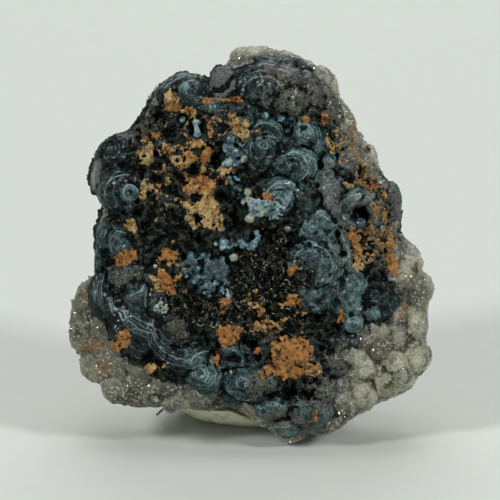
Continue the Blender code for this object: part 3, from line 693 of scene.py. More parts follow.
def add_slab(body, across, up, half_width, half_height, rise, turn, tip):
    """Adds a flat piece of quartz with blunt edges."""
    middle = Vector((across, up, float(depth_at(across, up)) + rise - SLAB_DEPTH))
    turned = Matrix.Rotation(math.radians(turn), 4, "Z") @ Matrix.Rotation(math.radians(tip), 4, "X")
    size = Matrix.Diagonal((half_width, half_height, SLAB_DEPTH, 1))
    made = bmesh.ops.create_cube(body, size=2, matrix=Matrix.Translation(middle) @ turned @ size)
    edges = list({edge for vert in made["verts"] for edge in vert.link_edges})
    bmesh.ops.bevel(
        body, geom=edges, offset=SLAB_BLUNTNESS * half_height, offset_type="OFFSET", segments=2, profile=0.5,
        affect="EDGES", material=-1,
    )


def crust_front(across, up, high):
    share = float(share_of(crust_reach, across, up))
    return float(depth_at(across, up)) + CRUST_LIFT - CRUST_EDGE_DROP * share**CRUST_EDGE_SHARPNESS


def crust_back(across, up, high):
    return -CRUST_BACK * high


SWAY = ((2.6, 0.34), (0.9, 0.13))


def sway(points):
    """How far each point of the crust is carried sideways, so that no mound stays a perfect oval."""
    free = np.clip((0.97 - share_of(rim_reach, points[:, 0], points[:, 1])) * 8, 0, 1)
    moved = np.zeros_like(points)
    for axis, (size, far) in itertools.product((0, 1), SWAY):
        moved[:, axis] += free * far * grain(points, size, 30 + axis)
    return moved


def before_sway(points):
    """Where each point of the crust was before it was carried sideways."""
    start = points.copy()
    for _ in range(3):
        start = points - sway(start)
    return start


print(len(CRUST_SLABS), "slabs on the crust")

# %% [markdown]
# Each point of the crust belongs to the mound whose skin is nearest. Its growth bands are counted outwards
# from that mound's eye.


# %% Mounds and bands
def mound_fields(points):
    """For each point: the number of the mound that it lies on, how far it is from that mound's skin, and how
    much further the next mound's skin is, which is little at a crease."""
    nearest = np.full(len(points), 99.0)
    second = np.full(len(points), 99.0)
    owner = np.zeros(len(points), int)
    for number, mound in enumerate(CRUST_MOUNDS):
        off = points - middle_of(mound)
        turned = np.stack([*along_turned(off[:, 0], off[:, 1], mound.turn), off[:, 2]], axis=1)
        sizes = np.array(half_sizes(mound))
        gap = (np.linalg.norm(turned / sizes, axis=1) - 1) * sizes.min()
        owner = np.where(gap < nearest, number, owner)
        second = np.minimum(second, np.maximum(nearest, gap))
        nearest = np.minimum(nearest, gap)
    return owner, nearest, second - nearest


def band_phase(points, owner):
    """How many growth bands lie between each point and the eye of its mound."""
    eyes = np.array([mound.eye or (mound.across, mound.up) for mound in CRUST_MOUNDS])[owner]
    sizes = np.array([(mound.half_width, mound.half_height) for mound in CRUST_MOUNDS])
    stretch = np.sqrt(np.sqrt(sizes.prod(axis=1))[:, None] / sizes)[owner]
    turns = np.radians([mound.turn for mound in CRUST_MOUNDS])[owner]
    right, high = (points[:, :2] - eyes).T
    along = (right * np.cos(turns) + high * np.sin(turns)) * stretch[:, 0]
    beside = (high * np.cos(turns) - right * np.sin(turns)) * stretch[:, 1]
    warp = 0.3 * grain(points, 1.8, 3) + 0.12 * grain(points, 0.7, 4)
    return (np.hypot(along, beside) + warp) / np.array([mound.pitch for mound in CRUST_MOUNDS])[owner]


def of_owner(owner, name):
    """One value of the mound that each point belongs to."""
    return np.array([getattr(mound, name) for mound in CRUST_MOUNDS])[owner]


print("bands from", min(mound.pitch for mound in CRUST_MOUNDS), "mm apart")

# %% [markdown]
# The clearest growth lines are given one by one, each as a part of an ellipse. For each point it is then
# worked out how far it is outside the nearest line, and how light that line is.

# %% The growth lines
LINE_REACH = 0.4
LINE_LIP = 0.07
LINE_WIDTH = 0.11
# Each line: (across, up, half width, half height, degrees from, degrees to, light)
GROWTH_LINES = (
    # The crown
    (1.44, 19.8, 2.2, 1.6, 15, 185, 0.8), (2.45, 19.55, 4.0, 2.76, 25, 165, 0.3),
    (2.45, 19.2, 4.85, 3.7, 35, 130, 0.35), (2.45, 19.0, 5.3, 4.3, 45, 105, 0.2),
    (2.95, 18.55, 1.4, 1.4, 150, 330, 0.35),
    # The wedge and the ridge beside it
    (-7.5, 17.75, 3.9, 3.8, 92, 142, 0.9), (-7.5, 17.6, 4.5, 4.4, 95, 140, 0.55),
    (-8.45, 16.25, 0.6, 0.6, -60, 130, 0.9), (-7.2, 19.0, 1.6, 1.9, 60, 130, 0.6),
    # The ledge and the bubbles under the crown
    (-0.9, 14.7, 1.3, 0.9, 20, 160, 0.6), (-0.9, 14.7, 1.0, 0.55, 20, 160, 0.5),
    (-0.75, 11.9, 0.38, 0.38, 0, 360, 1.0),
    # The left eye
    (-14.66, 7.0, 0.94, 0.94, 0, 360, 1.0), (-14.66, 7.0, 0.5, 0.5, 0, 360, 0.35),
    (-15.3, 7.0, 2.57, 2.27, 85, 185, 0.9), (-15.0, 7.0, 2.3, 2.3, -95, -25, 0.8),
    (-15.3, 7.0, 3.3, 2.9, 130, 210, 0.4), (-17.0, 0.6, 1.2, 2.2, 60, 150, 0.5),
    (-16.0, 0.6, 1.3, 1.7, 60, 200, 0.5),
    # The bands at the lower left
    (-15.6, -5.0, 2.75, 4.4, 155, 215, 0.55), (-15.6, -5.0, 2.0, 3.5, 150, 225, 0.6),
    (-15.6, -5.0, 3.7, 4.6, 163, 197, 0.4), (-15.6, -5.0, 3.2, 4.5, 158, 205, 0.3),
    (-16.0, -6.25, 0.9, 1.1, 150, 300, 1.0), (-16.0, -6.0, 1.3, 1.6, 165, 290, 0.6),
    (-9.75, -6.0, 3.1, 3.0, 145, 220, 0.9), (-15.0, -3.1, 2.4, 2.4, -65, -5, 0.9),
    (-15.0, -3.1, 2.9, 3.0, -60, -15, 0.4), (-11.25, -5.6, 4.75, 4.6, 207, 265, 0.65),
    (-11.5, -5.0, 4.2, 4.2, 215, 268, 0.55), (-11.3, -5.4, 5.4, 5.5, 205, 255, 0.35),
    (-8.5, -9.0, 3.4, 3.25, 175, 290, 0.55), (-8.5, -9.0, 2.8, 2.5, 170, 240, 0.35),
    (-7.5, -9.4, 4.6, 4.1, 190, 268, 0.6), (-7.7, -9.6, 5.1, 4.7, 200, 262, 0.45),
    (-11.0, -6.0, 6.6, 7.0, 210, 250, 0.35),
    # The swirl and its dome
    (-6.2, -15.06, 0.56, 0.6, -200, 100, 1.0), (-6.1, -15.1, 1.0, 1.05, -60, 185, 0.9),
    (-6.1, -15.1, 1.9, 2.0, -40, 50, 0.6), (-6.1, -15.1, 2.4, 2.6, -30, 45, 0.45),
    (-5.4, -14.1, 1.8, 1.65, 80, 180, 0.8), (-6.1, -15.1, 1.45, 1.5, -110, -10, 0.5),
    # The foot
    (-0.95, -16.3, 0.65, 0.65, 0, 360, 0.5), (-0.6, -15.25, 2.75, 3.3, 215, 300, 0.7),
    (2.5, -20.0, 1.75, 1.4, 30, 170, 0.6), (3.75, -20.25, 2.5, 1.75, 225, 320, 0.7),
    (3.75, -20.1, 2.1, 1.35, 225, 320, 0.5), (-2.0, -18.4, 1.6, 1.0, 10, 110, 0.5),
    (2.5, -20.0, 1.2, 0.9, 20, 160, 0.4),
    # The two lobes right of the middle
    (2.0, 12.0, 2.0, 1.93, 0, 170, 0.9), (1.69, 12.8, 0.47, 0.42, 0, 360, 0.9),
    (1.78, 13.9, 2.0, 1.67, 0, 160, 0.85), (1.27, 11.2, 1.25, 1.5, 180, 300, 0.5),
    (2.0, 12.1, 1.3, 1.3, 20, 150, 0.45), (1.9, 13.7, 2.5, 2.3, 20, 130, 0.4),
    (5.4, 10.2, 1.75, 1.75, -60, 135, 1.0), (5.6, 10.2, 2.43, 2.35, -40, 65, 0.8),
    (5.6, 10.2, 2.8, 2.75, -25, 60, 0.5), (3.5, 11.4, 0.5, 0.45, 0, 360, 0.9),
    (3.45, 9.76, 0.84, 0.84, 100, 260, 0.6), (5.3, 10.3, 1.1, 1.1, -20, 120, 0.5),
    (5.4, 10.2, 2.1, 2.05, -20, 100, 0.5),
    # The banded lump and the column of beads
    (6.3, 13.5, 1.67, 2.1, -70, 60, 1.0), (6.3, 13.5, 2.1, 2.5, -60, 55, 0.8),
    (6.3, 13.5, 2.5, 3.0, -50, 50, 0.5), (9.65, 10.6, 0.66, 0.66, 0, 360, 0.8),
    (9.65, 10.6, 0.33, 0.33, 0, 360, 0.5), (9.7, 9.3, 0.6, 0.55, 0, 360, 0.45),
    (9.6, 9.5, 1.84, 1.5, 215, 325, 0.6), (9.6, 9.7, 1.9, 1.3, 220, 320, 0.4),
    (11.2, 13.4, 0.7, 0.7, 180, 360, 0.5),
    # The blue terraces
    (4.1, 6.66, 1.9, 1.76, 45, 165, 1.0), (3.45, 6.3, 1.34, 1.34, -60, 110, 1.0),
    (3.45, 5.8, 0.67, 0.67, 0, 360, 0.8), (6.96, 6.5, 2.0, 2.2, 130, 240, 0.8),
    (3.8, 6.5, 1.7, 1.6, 30, 140, 0.6), (3.45, 6.1, 1.0, 1.0, -50, 120, 0.6),
    # The big lobe and its dome
    (8.75, 1.5, 2.5, 3.25, 90, 185, 0.8), (7.0, -1.5, 5.0, 6.25, 10, 72, 0.6),
    (7.1, -1.5, 1.75, 2.6, 55, 125, 0.8), (7.7, -1.7, 2.28, 2.28, 0, 360, 0.6),
    (7.85, -1.5, 2.7, 3.0, -60, 60, 0.65), (7.9, -1.5, 3.6, 3.9, -45, 45, 0.5),
    (8.75, 1.5, 1.9, 2.6, 95, 170, 0.45), (7.9, -1.5, 3.15, 3.4, -50, 50, 0.4),
    (8.0, -1.5, 4.3, 5.0, -30, 40, 0.4),
    # The curled lobe and the right side
    (13.3, 4.6, 2.3, 2.2, 30, 175, 0.5), (13.3, 4.4, 1.5, 1.4, 20, 170, 0.45),
    (12.75, -9.25, 0.95, 0.95, 0, 360, 0.5), (12.75, -9.25, 0.55, 0.55, 0, 360, 0.45),
    (11.1, -12.75, 0.6, 0.6, 180, 360, 0.6), (15.0, 0.9, 0.5, 0.5, 0, 360, 0.5),
    (12.2, -4.6, 1.4, 2.6, 100, 230, 0.35),
)


def line_fields(points):
    """For each point, how far outside the nearest growth line it is, and how light that line is."""
    wavy = points.copy()
    for axis in (0, 1):
        wavy[:, axis] += 0.12 * grain(points, 1.0, 50 + axis) + 0.04 * grain(points, 0.35, 52 + axis)
    nearest = np.full(len(points), 9.0)
    found = np.full(len(points), 9.0)
    light = np.zeros(len(points))
    for across, up, half_width, half_height, first, last, bright in GROWTH_LINES:
        right, high = (wavy[:, 0] - across) / half_width, (wavy[:, 1] - up) / half_height
        out = (np.hypot(right, high) - 1) * math.sqrt(half_width * half_height)
        middle, half = math.radians((first + last) / 2), math.radians((last - first) / 2)
        past = np.abs((np.arctan2(high, right) - middle + math.pi) % (2 * math.pi) - math.pi) - half
        far = np.hypot(out, np.clip(past, 0, None) * math.sqrt(half_width * half_height))
        closer = far < nearest
        found = np.where(closer, np.where(out < 0, -far, far), found)
        light = np.where(closer, bright, light)
        nearest = np.minimum(nearest, far)
    return found, light * (nearest < LINE_REACH)


print(len(GROWTH_LINES), "growth lines")

# %% [markdown]
# The crust is black and crumbled in some patches, and wherever no mound covers the lens. Small knobs stand
# on the heap of mounds, so the height of its top has to be known at each place. Then all the shapes go into
# one body, which is fused.


# %% Crumbled places and the whole crust
def on_face(points):
    """1 on the face, and 0 on the hidden back, which stays smooth."""
    return np.clip(points[:, 2] + CRUST_BACK, 0, 1)


def crumble_at(points, gap):
    """1 where the crust is black and crumbled: in its own patches, and wherever no mound covers the lens."""
    patches = patch_field(points, BLACK_CRUMBLE, 1.0) + 0.35 * rough(points, 1.4, 8, 2)
    between_mounds = np.clip((gap - 0.2) * 2.2 + 0.3 * grain(points, 0.8, 9), 0, 1)
    return np.maximum(rising(patches, 0.35, 3), between_mounds)


def heap_top(points):
    """The height of the heap of mounds at each place, and the number of the mound on top, or -1 for none."""
    top = depth_at(points[:, 0], points[:, 1]) + CRUST_LIFT
    owner = np.full(len(points), -1)
    for number, mound in enumerate(CRUST_MOUNDS):
        right, high = along_turned(points[:, 0] - mound.across, points[:, 1] - mound.up, mound.turn)
        wide, tall, deep = half_sizes(mound)
        share = (right / wide) ** 2 + (high / tall) ** 2
        height = middle_of(mound)[2] + deep * np.sqrt(np.clip(1 - share, 0, 1))
        higher = (share < 1) & (height > top)
        owner = np.where(higher, number, owner)
        top = np.where(higher, height, top)
    return top, owner


KNOBS = 1100
KNOB_SIZES = (0.25, 0.8)
KNOB_FREE_BELOW = 0.15
KNOB_SINK = 0.2
KNOB_SPREAD = 0.94
body = lens(crust_reach, crust_front, crust_back)
for mound in CRUST_MOUNDS:
    add_ball(body, Vector(middle_of(mound)), half_sizes(mound), mound.turn)
for slab in CRUST_SLABS:
    add_slab(body, *slab)
dice = np.random.default_rng(17)
share = np.sqrt(dice.random(KNOBS)) * KNOB_SPREAD
angle = dice.uniform(-math.pi, math.pi, KNOBS)
spots = (share * crust_reach(angle) * np.array((np.cos(angle), np.sin(angle)))).T
top, owner = heap_top(spots)
smooth = (owner >= 0) & (of_owner(owner, "sparkle") < KNOB_FREE_BELOW)
size = dice.uniform(*KNOB_SIZES, KNOBS) * np.where(smooth, 0.0, 1.0)
sizes = size[:, None] * dice.uniform(0.7, 1.3, (KNOBS, 3))
turns = dice.uniform(0, 3, (KNOBS, 3))
kept = size > 0
feet = np.column_stack([spots, top - KNOB_SINK * size])
knobs = scattered(ball_mesh(2), feet[kept], turns[kept], sizes[kept])
body.from_mesh(knobs)
crust_mesh = fused(body, CRUST_VOXEL)
move_to(crust_mesh, smoothed(crust_mesh, CRUST_MELT))
print("crust fused:", triangles(crust_mesh), "triangles,", round(time.time() - started, 1), "s")

# %% [markdown]
# Each point is pushed in or out along its normal by a sum of reliefs: broad grain, crumbs in the black
# parts, small knobs in the crusty ones, clay, growth lines and fine steps. Hollows and pits are sunk last,
# into the face.

# %% Weather the crust
points = places(crust_mesh)
owner, gap, crease = mound_fields(points)
phase = band_phase(points, owner)
points += sway(points)
points[:, 2] += rim_wave(points)
move_to(crust_mesh, points)
normals = directions(crust_mesh)
crumble = crumble_at(points, gap)
clay_here = rising(clay_field(points), 0.45, 5)
sparkle = of_owner(owner, "sparkle") * (1 - crumble)
facing = on_face(points) * (normals[:, 2] > -0.2)

near, _, number, _ = cells(points, 1.0, 5)
small_near, _, _, _ = cells(points, 0.42, 6)
luck = np.abs(LATTICE[(np.floor(phase).astype(int) * 7 + owner * 131) % len(LATTICE)])
step = 0.16 * (1 - phase % 1) ** 1.5 * luck * of_owner(owner, "lines") * (1 - crumble) * (gap < 0.3)
crusty = np.clip(0.5 + 1.2 * rough(points, 1.8, 16, 2) + sparkle, 0, 1) * (1 - crumble)
hole = np.clip(number - 0.45, 0, 1) * np.clip(0.75 - near, 0, 1) * 3.2

push = 0.14 * rough(points, 2.4, 1) + 0.05 * rough(points, 0.9, 19)
push += crumble * (0.25 - 0.5 * near - hole + 0.36 * (0.5 - small_near) + 0.3 * rough(points, 0.55, 9, 2))
push += crusty * (0.17 * (0.55 - small_near) + 0.05 * rough(points, 0.4, 18, 2))
push += clay_here * (0.25 * rough(points, 0.6, 12) - 0.15)
line, light = line_fields(points)
push += LINE_LIP * light * np.exp(-((line / LINE_WIDTH) ** 2)) * (1 - crumble)
push += step + 0.03 * grain(points, 0.3, 15) - 0.08 * np.exp(-crease / 0.14) * (gap < 0.3)
calm = 1 - 0.75 * rising(patch_field(points, SLAB_PATCHES), 0.45, 5)
calm *= 1 - 0.2 * rising(share_of(rim_reach, points[:, 0], points[:, 1]), 0.9, 12)
points += normals * (push * facing * calm)[:, None]
points[:, 2] -= sunk_by(points) * np.clip(normals[:, 2], 0, 1)
move_to(crust_mesh, points)
crust_mesh = thinned(crust_mesh, CRUST_TRIANGLES)
print("crust weathered:", triangles(crust_mesh), "triangles,", round(time.time() - started, 1), "s")

# %% [markdown]
# The finishes darken creases as painted shade and lighten proud places as a painted highlight. How deep a
# place lies is found by smoothing the surface and measuring how far each point has to move out to meet the
# smooth one.


# %% Hollows and proud places
RINGS_APART = 31.0
CRUMBLE_TONE = -0.9


def hollowness(mesh, rounds):
    """How far each vertex lies below the surface as it is after so many rounds of smoothing, in mm."""
    return ((smoothed(mesh, rounds) - places(mesh)) * directions(mesh)).sum(axis=1)


points = places(crust_mesh)
start = before_sway(points)
start[:, 2] -= rim_wave(points)
owner, gap, _ = mound_fields(start)
crumble = crumble_at(points, gap)
line, line_light = line_fields(points)
keep(
    crust_mesh,
    phase=band_phase(start, owner) + owner * RINGS_APART,
    crumble=crumble,
    line=line,
    line_light=line_light,
    slab=patch_field(points, SLAB_PATCHES),
    lines=of_owner(owner, "lines") * (1 - crumble),
    tone=of_owner(owner, "tone") * (1 - crumble) + CRUMBLE_TONE * crumble,
    sparkle=of_owner(owner, "sparkle"),
    hollow=hollowness(crust_mesh, 12),
    clay=clay_field(points),
    orange=patch_field(points, ORANGE_CLAY) - patch_field(points, CREAM_CLAY),
    mauve=patch_field(points, MAUVE),
    brown=patch_field(points, BROWN),
)
print("crust measured,", round(time.time() - started, 1), "s")

# %% [markdown]
# Under and around the crust is quartz. Its front edge is a ring of rounded lumps, and its back is covered
# with blunt six-sided crystals that spread out from the middle. It is fused and thinned in the same way as
# the crust.

# %% The quartz body
QUARTZ_VOXEL = 0.2
QUARTZ_TRIANGLES = 150000
QUARTZ_MELT = 2
QUARTZ_SINK = 0.15
QUARTZ_MOUNDS = (
    (0.0, 24.0, 2.2, 1.3, 0.4, 0), (3.6, 24.0, 1.8, 1.0, 0.2, -10), (9.4, 20.6, 1.5, 2.6, 0.2, 28),
    (11.4, 16.6, 1.4, 3.4, 0.6, 22), (14.6, 11.6, 1.2, 1.8, 0.3, 30), (-20.3, -7.1, 1.7, 3.2, -0.3, 0),
    (-20.6, -10.6, 1.9, 2.3, -0.1, 0), (-18.7, -14.2, 2.4, 2.5, 0.4, 0), (-16.1, -17.0, 2.4, 2.1, 0.4, 0),
    (-11.7, -16.9, 3.4, 2.0, 0.9, 12), (-5.0, -18.3, 2.6, 1.5, -0.6, 0), (5.2, -22.8, 1.6, 1.1, -0.6, 0),
    (20.6, -5.0, 2.1, 2.2, 0.9, 10), (19.2, -0.9, 1.8, 1.8, 0.2, 0), (17.4, -8.6, 1.2, 2.6, 1.3, -38),
    (20.2, -9.4, 1.9, 2.3, 0.9, 0), (20.6, -13.2, 1.9, 1.9, 0.5, 0), (18.2, -14.6, 1.4, 2.4, 1.2, 10),
    (16.2, -12.4, 1.3, 1.5, 1.8, 0), (14.2, -14.4, 2.0, 1.6, 1.2, 0), (17.4, -16.9, 1.9, 1.5, 0.5, 20),
    (14.0, -17.6, 2.1, 2.0, 1.1, 15), (11.2, -18.6, 1.9, 2.0, 1.0, 25), (9.6, -21.2, 2.2, 1.3, 0.3, 30),
)
QUARTZ_SLABS = ((-8.6, -18.0, 2.6, 1.1, 0.3, 28, 25), (12.2, -12.9, 1.9, 1.1, 0.6, -20, -12))
# Here it is stained with rust
RUSTY = (
    (-19.6, -11.8, 1.8, 1.0, -10), (-18.2, -14.6, 1.2, 1.4, 30), (18.9, -7.6, 0.6, 1.4, -30),
    (-20.4, -5.6, 0.6, 0.9, 0), (15.6, -15.4, 1.2, 0.5, 15), (13.4, 15.6, 1.0, 1.6, 22),
    (17.9, -2.6, 1.2, 0.8, 0),
)
# Here it is darker
SMOKY = (
    (-20.0, -9.0, 3.4, 6.5, 0), (-13.0, -17.6, 7.0, 3.0, 0), (20.2, -5.2, 2.4, 2.4, 0),
    (16.2, -12.0, 1.7, 1.7, 0), (9.6, -20.6, 4.0, 2.4, 20), (-3.6, -19.0, 3.2, 1.4, 0),
)
GOLDEN_ANGLE = math.radians(137.5)
BACK_MOUNDS = 26
BACK_MOUND_SIZE = (2.6, 4.4)
BACK_MOUND_REACH = 0.82
BACK_MOUND_RISE = 0.9
BACK_MOUND_FLATNESS = 0.8
BACK_CRYSTALS = 80
BACK_CRYSTAL_SIZE = (1.3, 2.5)
BACK_CRYSTAL_REACH = 0.93
BACK_CRYSTAL_LEAN = 0.9
BLOCK_SIZE = 2.8
BACK_STARTS = -1.5
CRYSTAL_SIDES = 6
TIP_STEEPNESS = 1.1
CRYSTAL_ROOT = 1.6
CRYSTAL_STAND = 0.2
CRYSTAL_TILT = 0.35
TILT_BEATS = (2.1, 3.3, 1.3)
GROUND_CLEARANCE = 0.6


def quartz_front(across, up, high):
    under = min(1.0, max(0.0, (0.97 - float(share_of(crust_reach, across, up))) * 12))
    return float(depth_at(across, up)) - QUARTZ_SINK * high - 0.9 * under


def quartz_back(across, up, high):
    return -BACK_BULGE * high


def quartz_reach(angle):
    """The rim, drawn in a little where the crust itself reaches the edge of the specimen."""
    covered = rising(crust_reach(angle) / rim_reach(angle), 0.985, 100)
    return rim_reach(angle) * (1 - 0.03 * covered)


def spiral(count, turn=0.0):
    """The number, angle and share of the way out of each place on a spiral that covers a disc evenly."""
    for number in range(count):
        angle = math.remainder(number * GOLDEN_ANGLE + turn, 2 * math.pi)
        yield number, angle, math.sqrt((number + 0.5) / count)


def between(limits, wave):
    smallest, largest = limits
    return smallest + (largest - smallest) * (0.5 + 0.5 * math.sin(wave))


def stray(number):
    across, up, out = TILT_BEATS
    return CRYSTAL_TILT * Vector((math.sin(number * across), math.cos(number * up), math.sin(number * out)))


def add_crystal(cluster, foot, axis, radius):
    """Adds one six-sided crystal, which stands on foot along axis and ends in a pyramid."""
    point = Matrix.Translation(foot) @ axis.to_track_quat("Z", "Y").to_matrix().to_4x4()
    tip = radius * TIP_STEEPNESS
    place = point @ Matrix.Translation((0, 0, radius * CRYSTAL_STAND + tip / 2))
    made = bmesh.ops.create_cone(
        cluster, cap_ends=True, segments=CRYSTAL_SIDES, radius1=radius, radius2=0, depth=tip, matrix=place
    )
    widest = [face for face in made["verts"][0].link_faces if len(face.verts) == CRYSTAL_SIDES]
    grown = bmesh.ops.extrude_discrete_faces(cluster, faces=widest)["faces"]
    bmesh.ops.translate(cluster, vec=-radius * (CRYSTAL_ROOT + CRYSTAL_STAND) * axis, verts=grown[0].verts)


body = lens(quartz_reach, quartz_front, quartz_back)
for across, up, half_width, half_height, rise, turn in QUARTZ_MOUNDS:
    lump = Mound(across, up, half_width, half_height, rise, turn)
    add_ball(body, Vector(middle_of(lump)), (half_width, half_height, half_depth(lump)), turn)
for slab in QUARTZ_SLABS:
    add_slab(body, *slab)
for number, angle, share in spiral(BACK_MOUNDS):
    out = share * BACK_MOUND_REACH * float(rim_reach(angle))
    across, up = out * math.cos(angle), out * math.sin(angle)
    size = between(BACK_MOUND_SIZE, number * 2.4)
    depth = float(depth_at(across, up, BACK_BULGE)) + BACK_MOUND_RISE - BACK_MOUND_FLATNESS * size
    add_ball(body, Vector((across, up, -depth)), (size, size, BACK_MOUND_FLATNESS * size), finer=3)
for number, angle, share in spiral(BACK_CRYSTALS, 1.0):
    outward = Vector((math.cos(angle), math.sin(angle), 0))
    foot = outward * share * BACK_CRYSTAL_REACH * float(rim_reach(angle))
    foot.z = -float(depth_at(foot.x, foot.y, BACK_BULGE))
    spread = outward * BACK_CRYSTAL_LEAN * (share * BACK_CRYSTAL_REACH) ** 3
    axis = (spread + Vector((0, 0, -1)) + stray(number)).normalized()
    radius = between(BACK_CRYSTAL_SIZE, number * 1.7)
    tip = foot + axis * radius * (CRYSTAL_STAND + TIP_STEEPNESS)
    if (STAND_UP @ tip).z > GROUND_CLEARANCE * MM:
        add_crystal(body, foot, axis, radius)
quartz_mesh = fused(body, QUARTZ_VOXEL)
move_to(quartz_mesh, smoothed(quartz_mesh, QUARTZ_MELT))

print("quartz fused:", triangles(quartz_mesh), "triangles,", round(time.time() - started, 1), "s")


def shown(points):
    """1 where the quartz isn't under the crust."""
    beyond = rising(share_of(crust_reach, points[:, 0], points[:, 1]), 0.93, 14)
    behind = np.clip(-0.8 - points[:, 2], 0, 1)
    return np.maximum(beyond, behind)


points = places(quartz_mesh)
points[:, 2] += rim_wave(points)
move_to(quartz_mesh, points)
normals = directions(quartz_mesh)
small_near, _, _, _ = cells(points, 0.5, 3)
blocks = 0.13 * facets(points, BLOCK_SIZE, 2) + 0.06 * facets(points, 1.2, 4) + 0.09 * (0.5 - small_near)
grown_in_front = 0.08 * rough(points, 2.4, 5) + blocks
grown = np.where(points[:, 2] > BACK_STARTS, grown_in_front, 0.04 * rough(points, 1.2, 5))
points += normals * (grown * shown(points))[:, None]
front = points[:, 2] > 0
points[:, 2] -= sunk_by(points) * np.clip(normals[:, 2], 0, 1) * front
move_to(quartz_mesh, points)
quartz_mesh = thinned(quartz_mesh, QUARTZ_TRIANGLES)
points = places(quartz_mesh)
_, seam, lump, _ = cells(points, BLOCK_SIZE, 2)
beyond = (share_of(crust_reach, points[:, 0], points[:, 1]) - 1) * 12
keep(
    quartz_mesh,
    hollow=hollowness(quartz_mesh, 12),
    smoky=patch_field(points, SMOKY),
    rust=patch_field(points, RUSTY, 1.0) * np.clip(0.9 + points[:, 2] / 2, 0, 1),
    seam=seam,
    lump=lump,
    under_crust=np.clip(1 - beyond, 0, 1) * (points[:, 2] > -1),
)
print("quartz weathered:", triangles(quartz_mesh), "triangles,", round(time.time() - started, 1), "s")

# %% [markdown]
# Materials are written as Python expressions. A Wire is one output of a node, and its operators add Math
# nodes. A Finish is one material, and its node method adds any other node from its type, its settings and
# its inputs.


# %% A small language for finishes
class Wire:
    """One output socket of a finish."""

    def __init__(self, finish, socket):
        self.finish = finish
        self.socket = socket

    def math(self, operation, *inputs):
        return self.finish.node("ShaderNodeMath", {"operation": operation}, dict(enumerate(inputs)))

    def __add__(self, other):
        return self.math("ADD", self, other)

    def __sub__(self, other):
        return self.math("SUBTRACT", self, other)

    def __rsub__(self, other):
        return self.math("SUBTRACT", other, self)

    def __mul__(self, other):
        return self.math("MULTIPLY", self, other)

    def __truediv__(self, other):
        return self.math("DIVIDE", self, other)

    def __pow__(self, other):
        return self.math("POWER", self, other)

    __radd__ = __add__
    __rmul__ = __mul__

    def swing(self, width):
        """Noise from 0 to 1, moved so that it swings round 0, over this width."""
        return (self - 0.5) * width

    def between(self, low, high):
        """0 up to low, 1 from high, and smooth in between."""
        inputs = {"Value": self, "From Min": low, "From Max": high}
        return self.finish.node("ShaderNodeMapRange", {"interpolation_type": "SMOOTHSTEP"}, inputs)


class Finish:
    """A material as it is being written."""

    def __init__(self, name, **constants):
        self.material = bpy.data.materials.new(name)
        self.material.use_nodes = True
        self.tree = self.material.node_tree
        self.shader = self.tree.nodes["Principled BSDF"]
        for socket, value in constants.items():
            self.shader.inputs[socket.replace("_", " ")].default_value = value
        self.place = self.node("ShaderNodeTexCoord", output="Object")

    def feed(self, socket, value):
        if isinstance(value, Wire):
            self.tree.links.new(value.socket, socket)
        else:
            socket.default_value = value

    def node(self, kind, settings=None, inputs=None, output=0):
        made = self.tree.nodes.new(kind)
        for name, value in (settings or {}).items():
            if name == "stops":
                self.set_stops(made.color_ramp, value)
            else:
                setattr(made, name, value)
        for name, value in (inputs or {}).items():
            self.feed(made.inputs[name], value)
        return Wire(self, made.outputs[output])

    @staticmethod
    def set_stops(ramp, stops):
        while len(ramp.elements) < len(stops):
            ramp.elements.new(1.0)
        for element, (position, colour) in zip(ramp.elements, stops):
            element.position = position
            element.color = (*colour, 1)

    def stored(self, name):
        """A number that was stored at each vertex."""
        return self.node("ShaderNodeAttribute", {"attribute_name": name}, output="Fac")

    def noise(self, size, detail=2.0, seed=0.0):
        """Noise from 0 to 1 with lumps about size mm across."""
        moved = self.node(
            "ShaderNodeMapping", inputs={"Vector": self.place, "Location": (seed, 2 * seed, 3 * seed)}
        )
        inputs = {"Vector": moved, "Scale": 1 / (size * MM), "Detail": detail}
        return self.node("ShaderNodeTexNoise", inputs=inputs)

    def cells(self, size, output="Distance", feature="F1"):
        inputs = {"Vector": self.place, "Scale": 1 / (size * MM)}
        return self.node("ShaderNodeTexVoronoi", {"feature": feature}, inputs, output)

    def mix(self, share, first, second, blend="MIX"):
        """Two colours mixed. Each is a wire or three numbers."""
        sides = [side if isinstance(side, Wire) else (*side, 1) for side in (first, second)]
        inputs = {0: share, 6: sides[0], 7: sides[1]}
        return self.node("ShaderNodeMix", {"data_type": "RGBA", "blend_type": blend}, inputs, 2)

    def ramp(self, value, *stops):
        return self.node("ShaderNodeValToRGB", {"stops": stops}, {"Fac": value})

    def bump(self, height, depth_mm, strength=1.0):
        inputs = {"Height": height, "Distance": depth_mm * MM, "Strength": strength}
        self.feed(self.shader.inputs["Normal"], self.node("ShaderNodeBump", inputs=inputs))

    def set(self, **inputs):
        for name, value in inputs.items():
            self.feed(self.shader.inputs[name.replace("_", " ")], value)


def piece(name, mesh, finish, stand=True):
    """Stands a finished mesh up in the row frame, gives it its finish and makes it ride on the one body."""
    if stand:
        move_to(mesh, above_ground(places(mesh)))
        mesh.transform(STAND_UP)
    mesh.name = name
    mesh.materials.clear()
    mesh.materials.append(finish.material)
    mesh.shade_smooth()
    made = bpy.data.objects.new(name, mesh)
    bpy.context.scene.collection.objects.link(made)
    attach(made, "root")
    print(name, "has", triangles(mesh), "triangles,", round(time.time() - started, 1), "s")
    return made
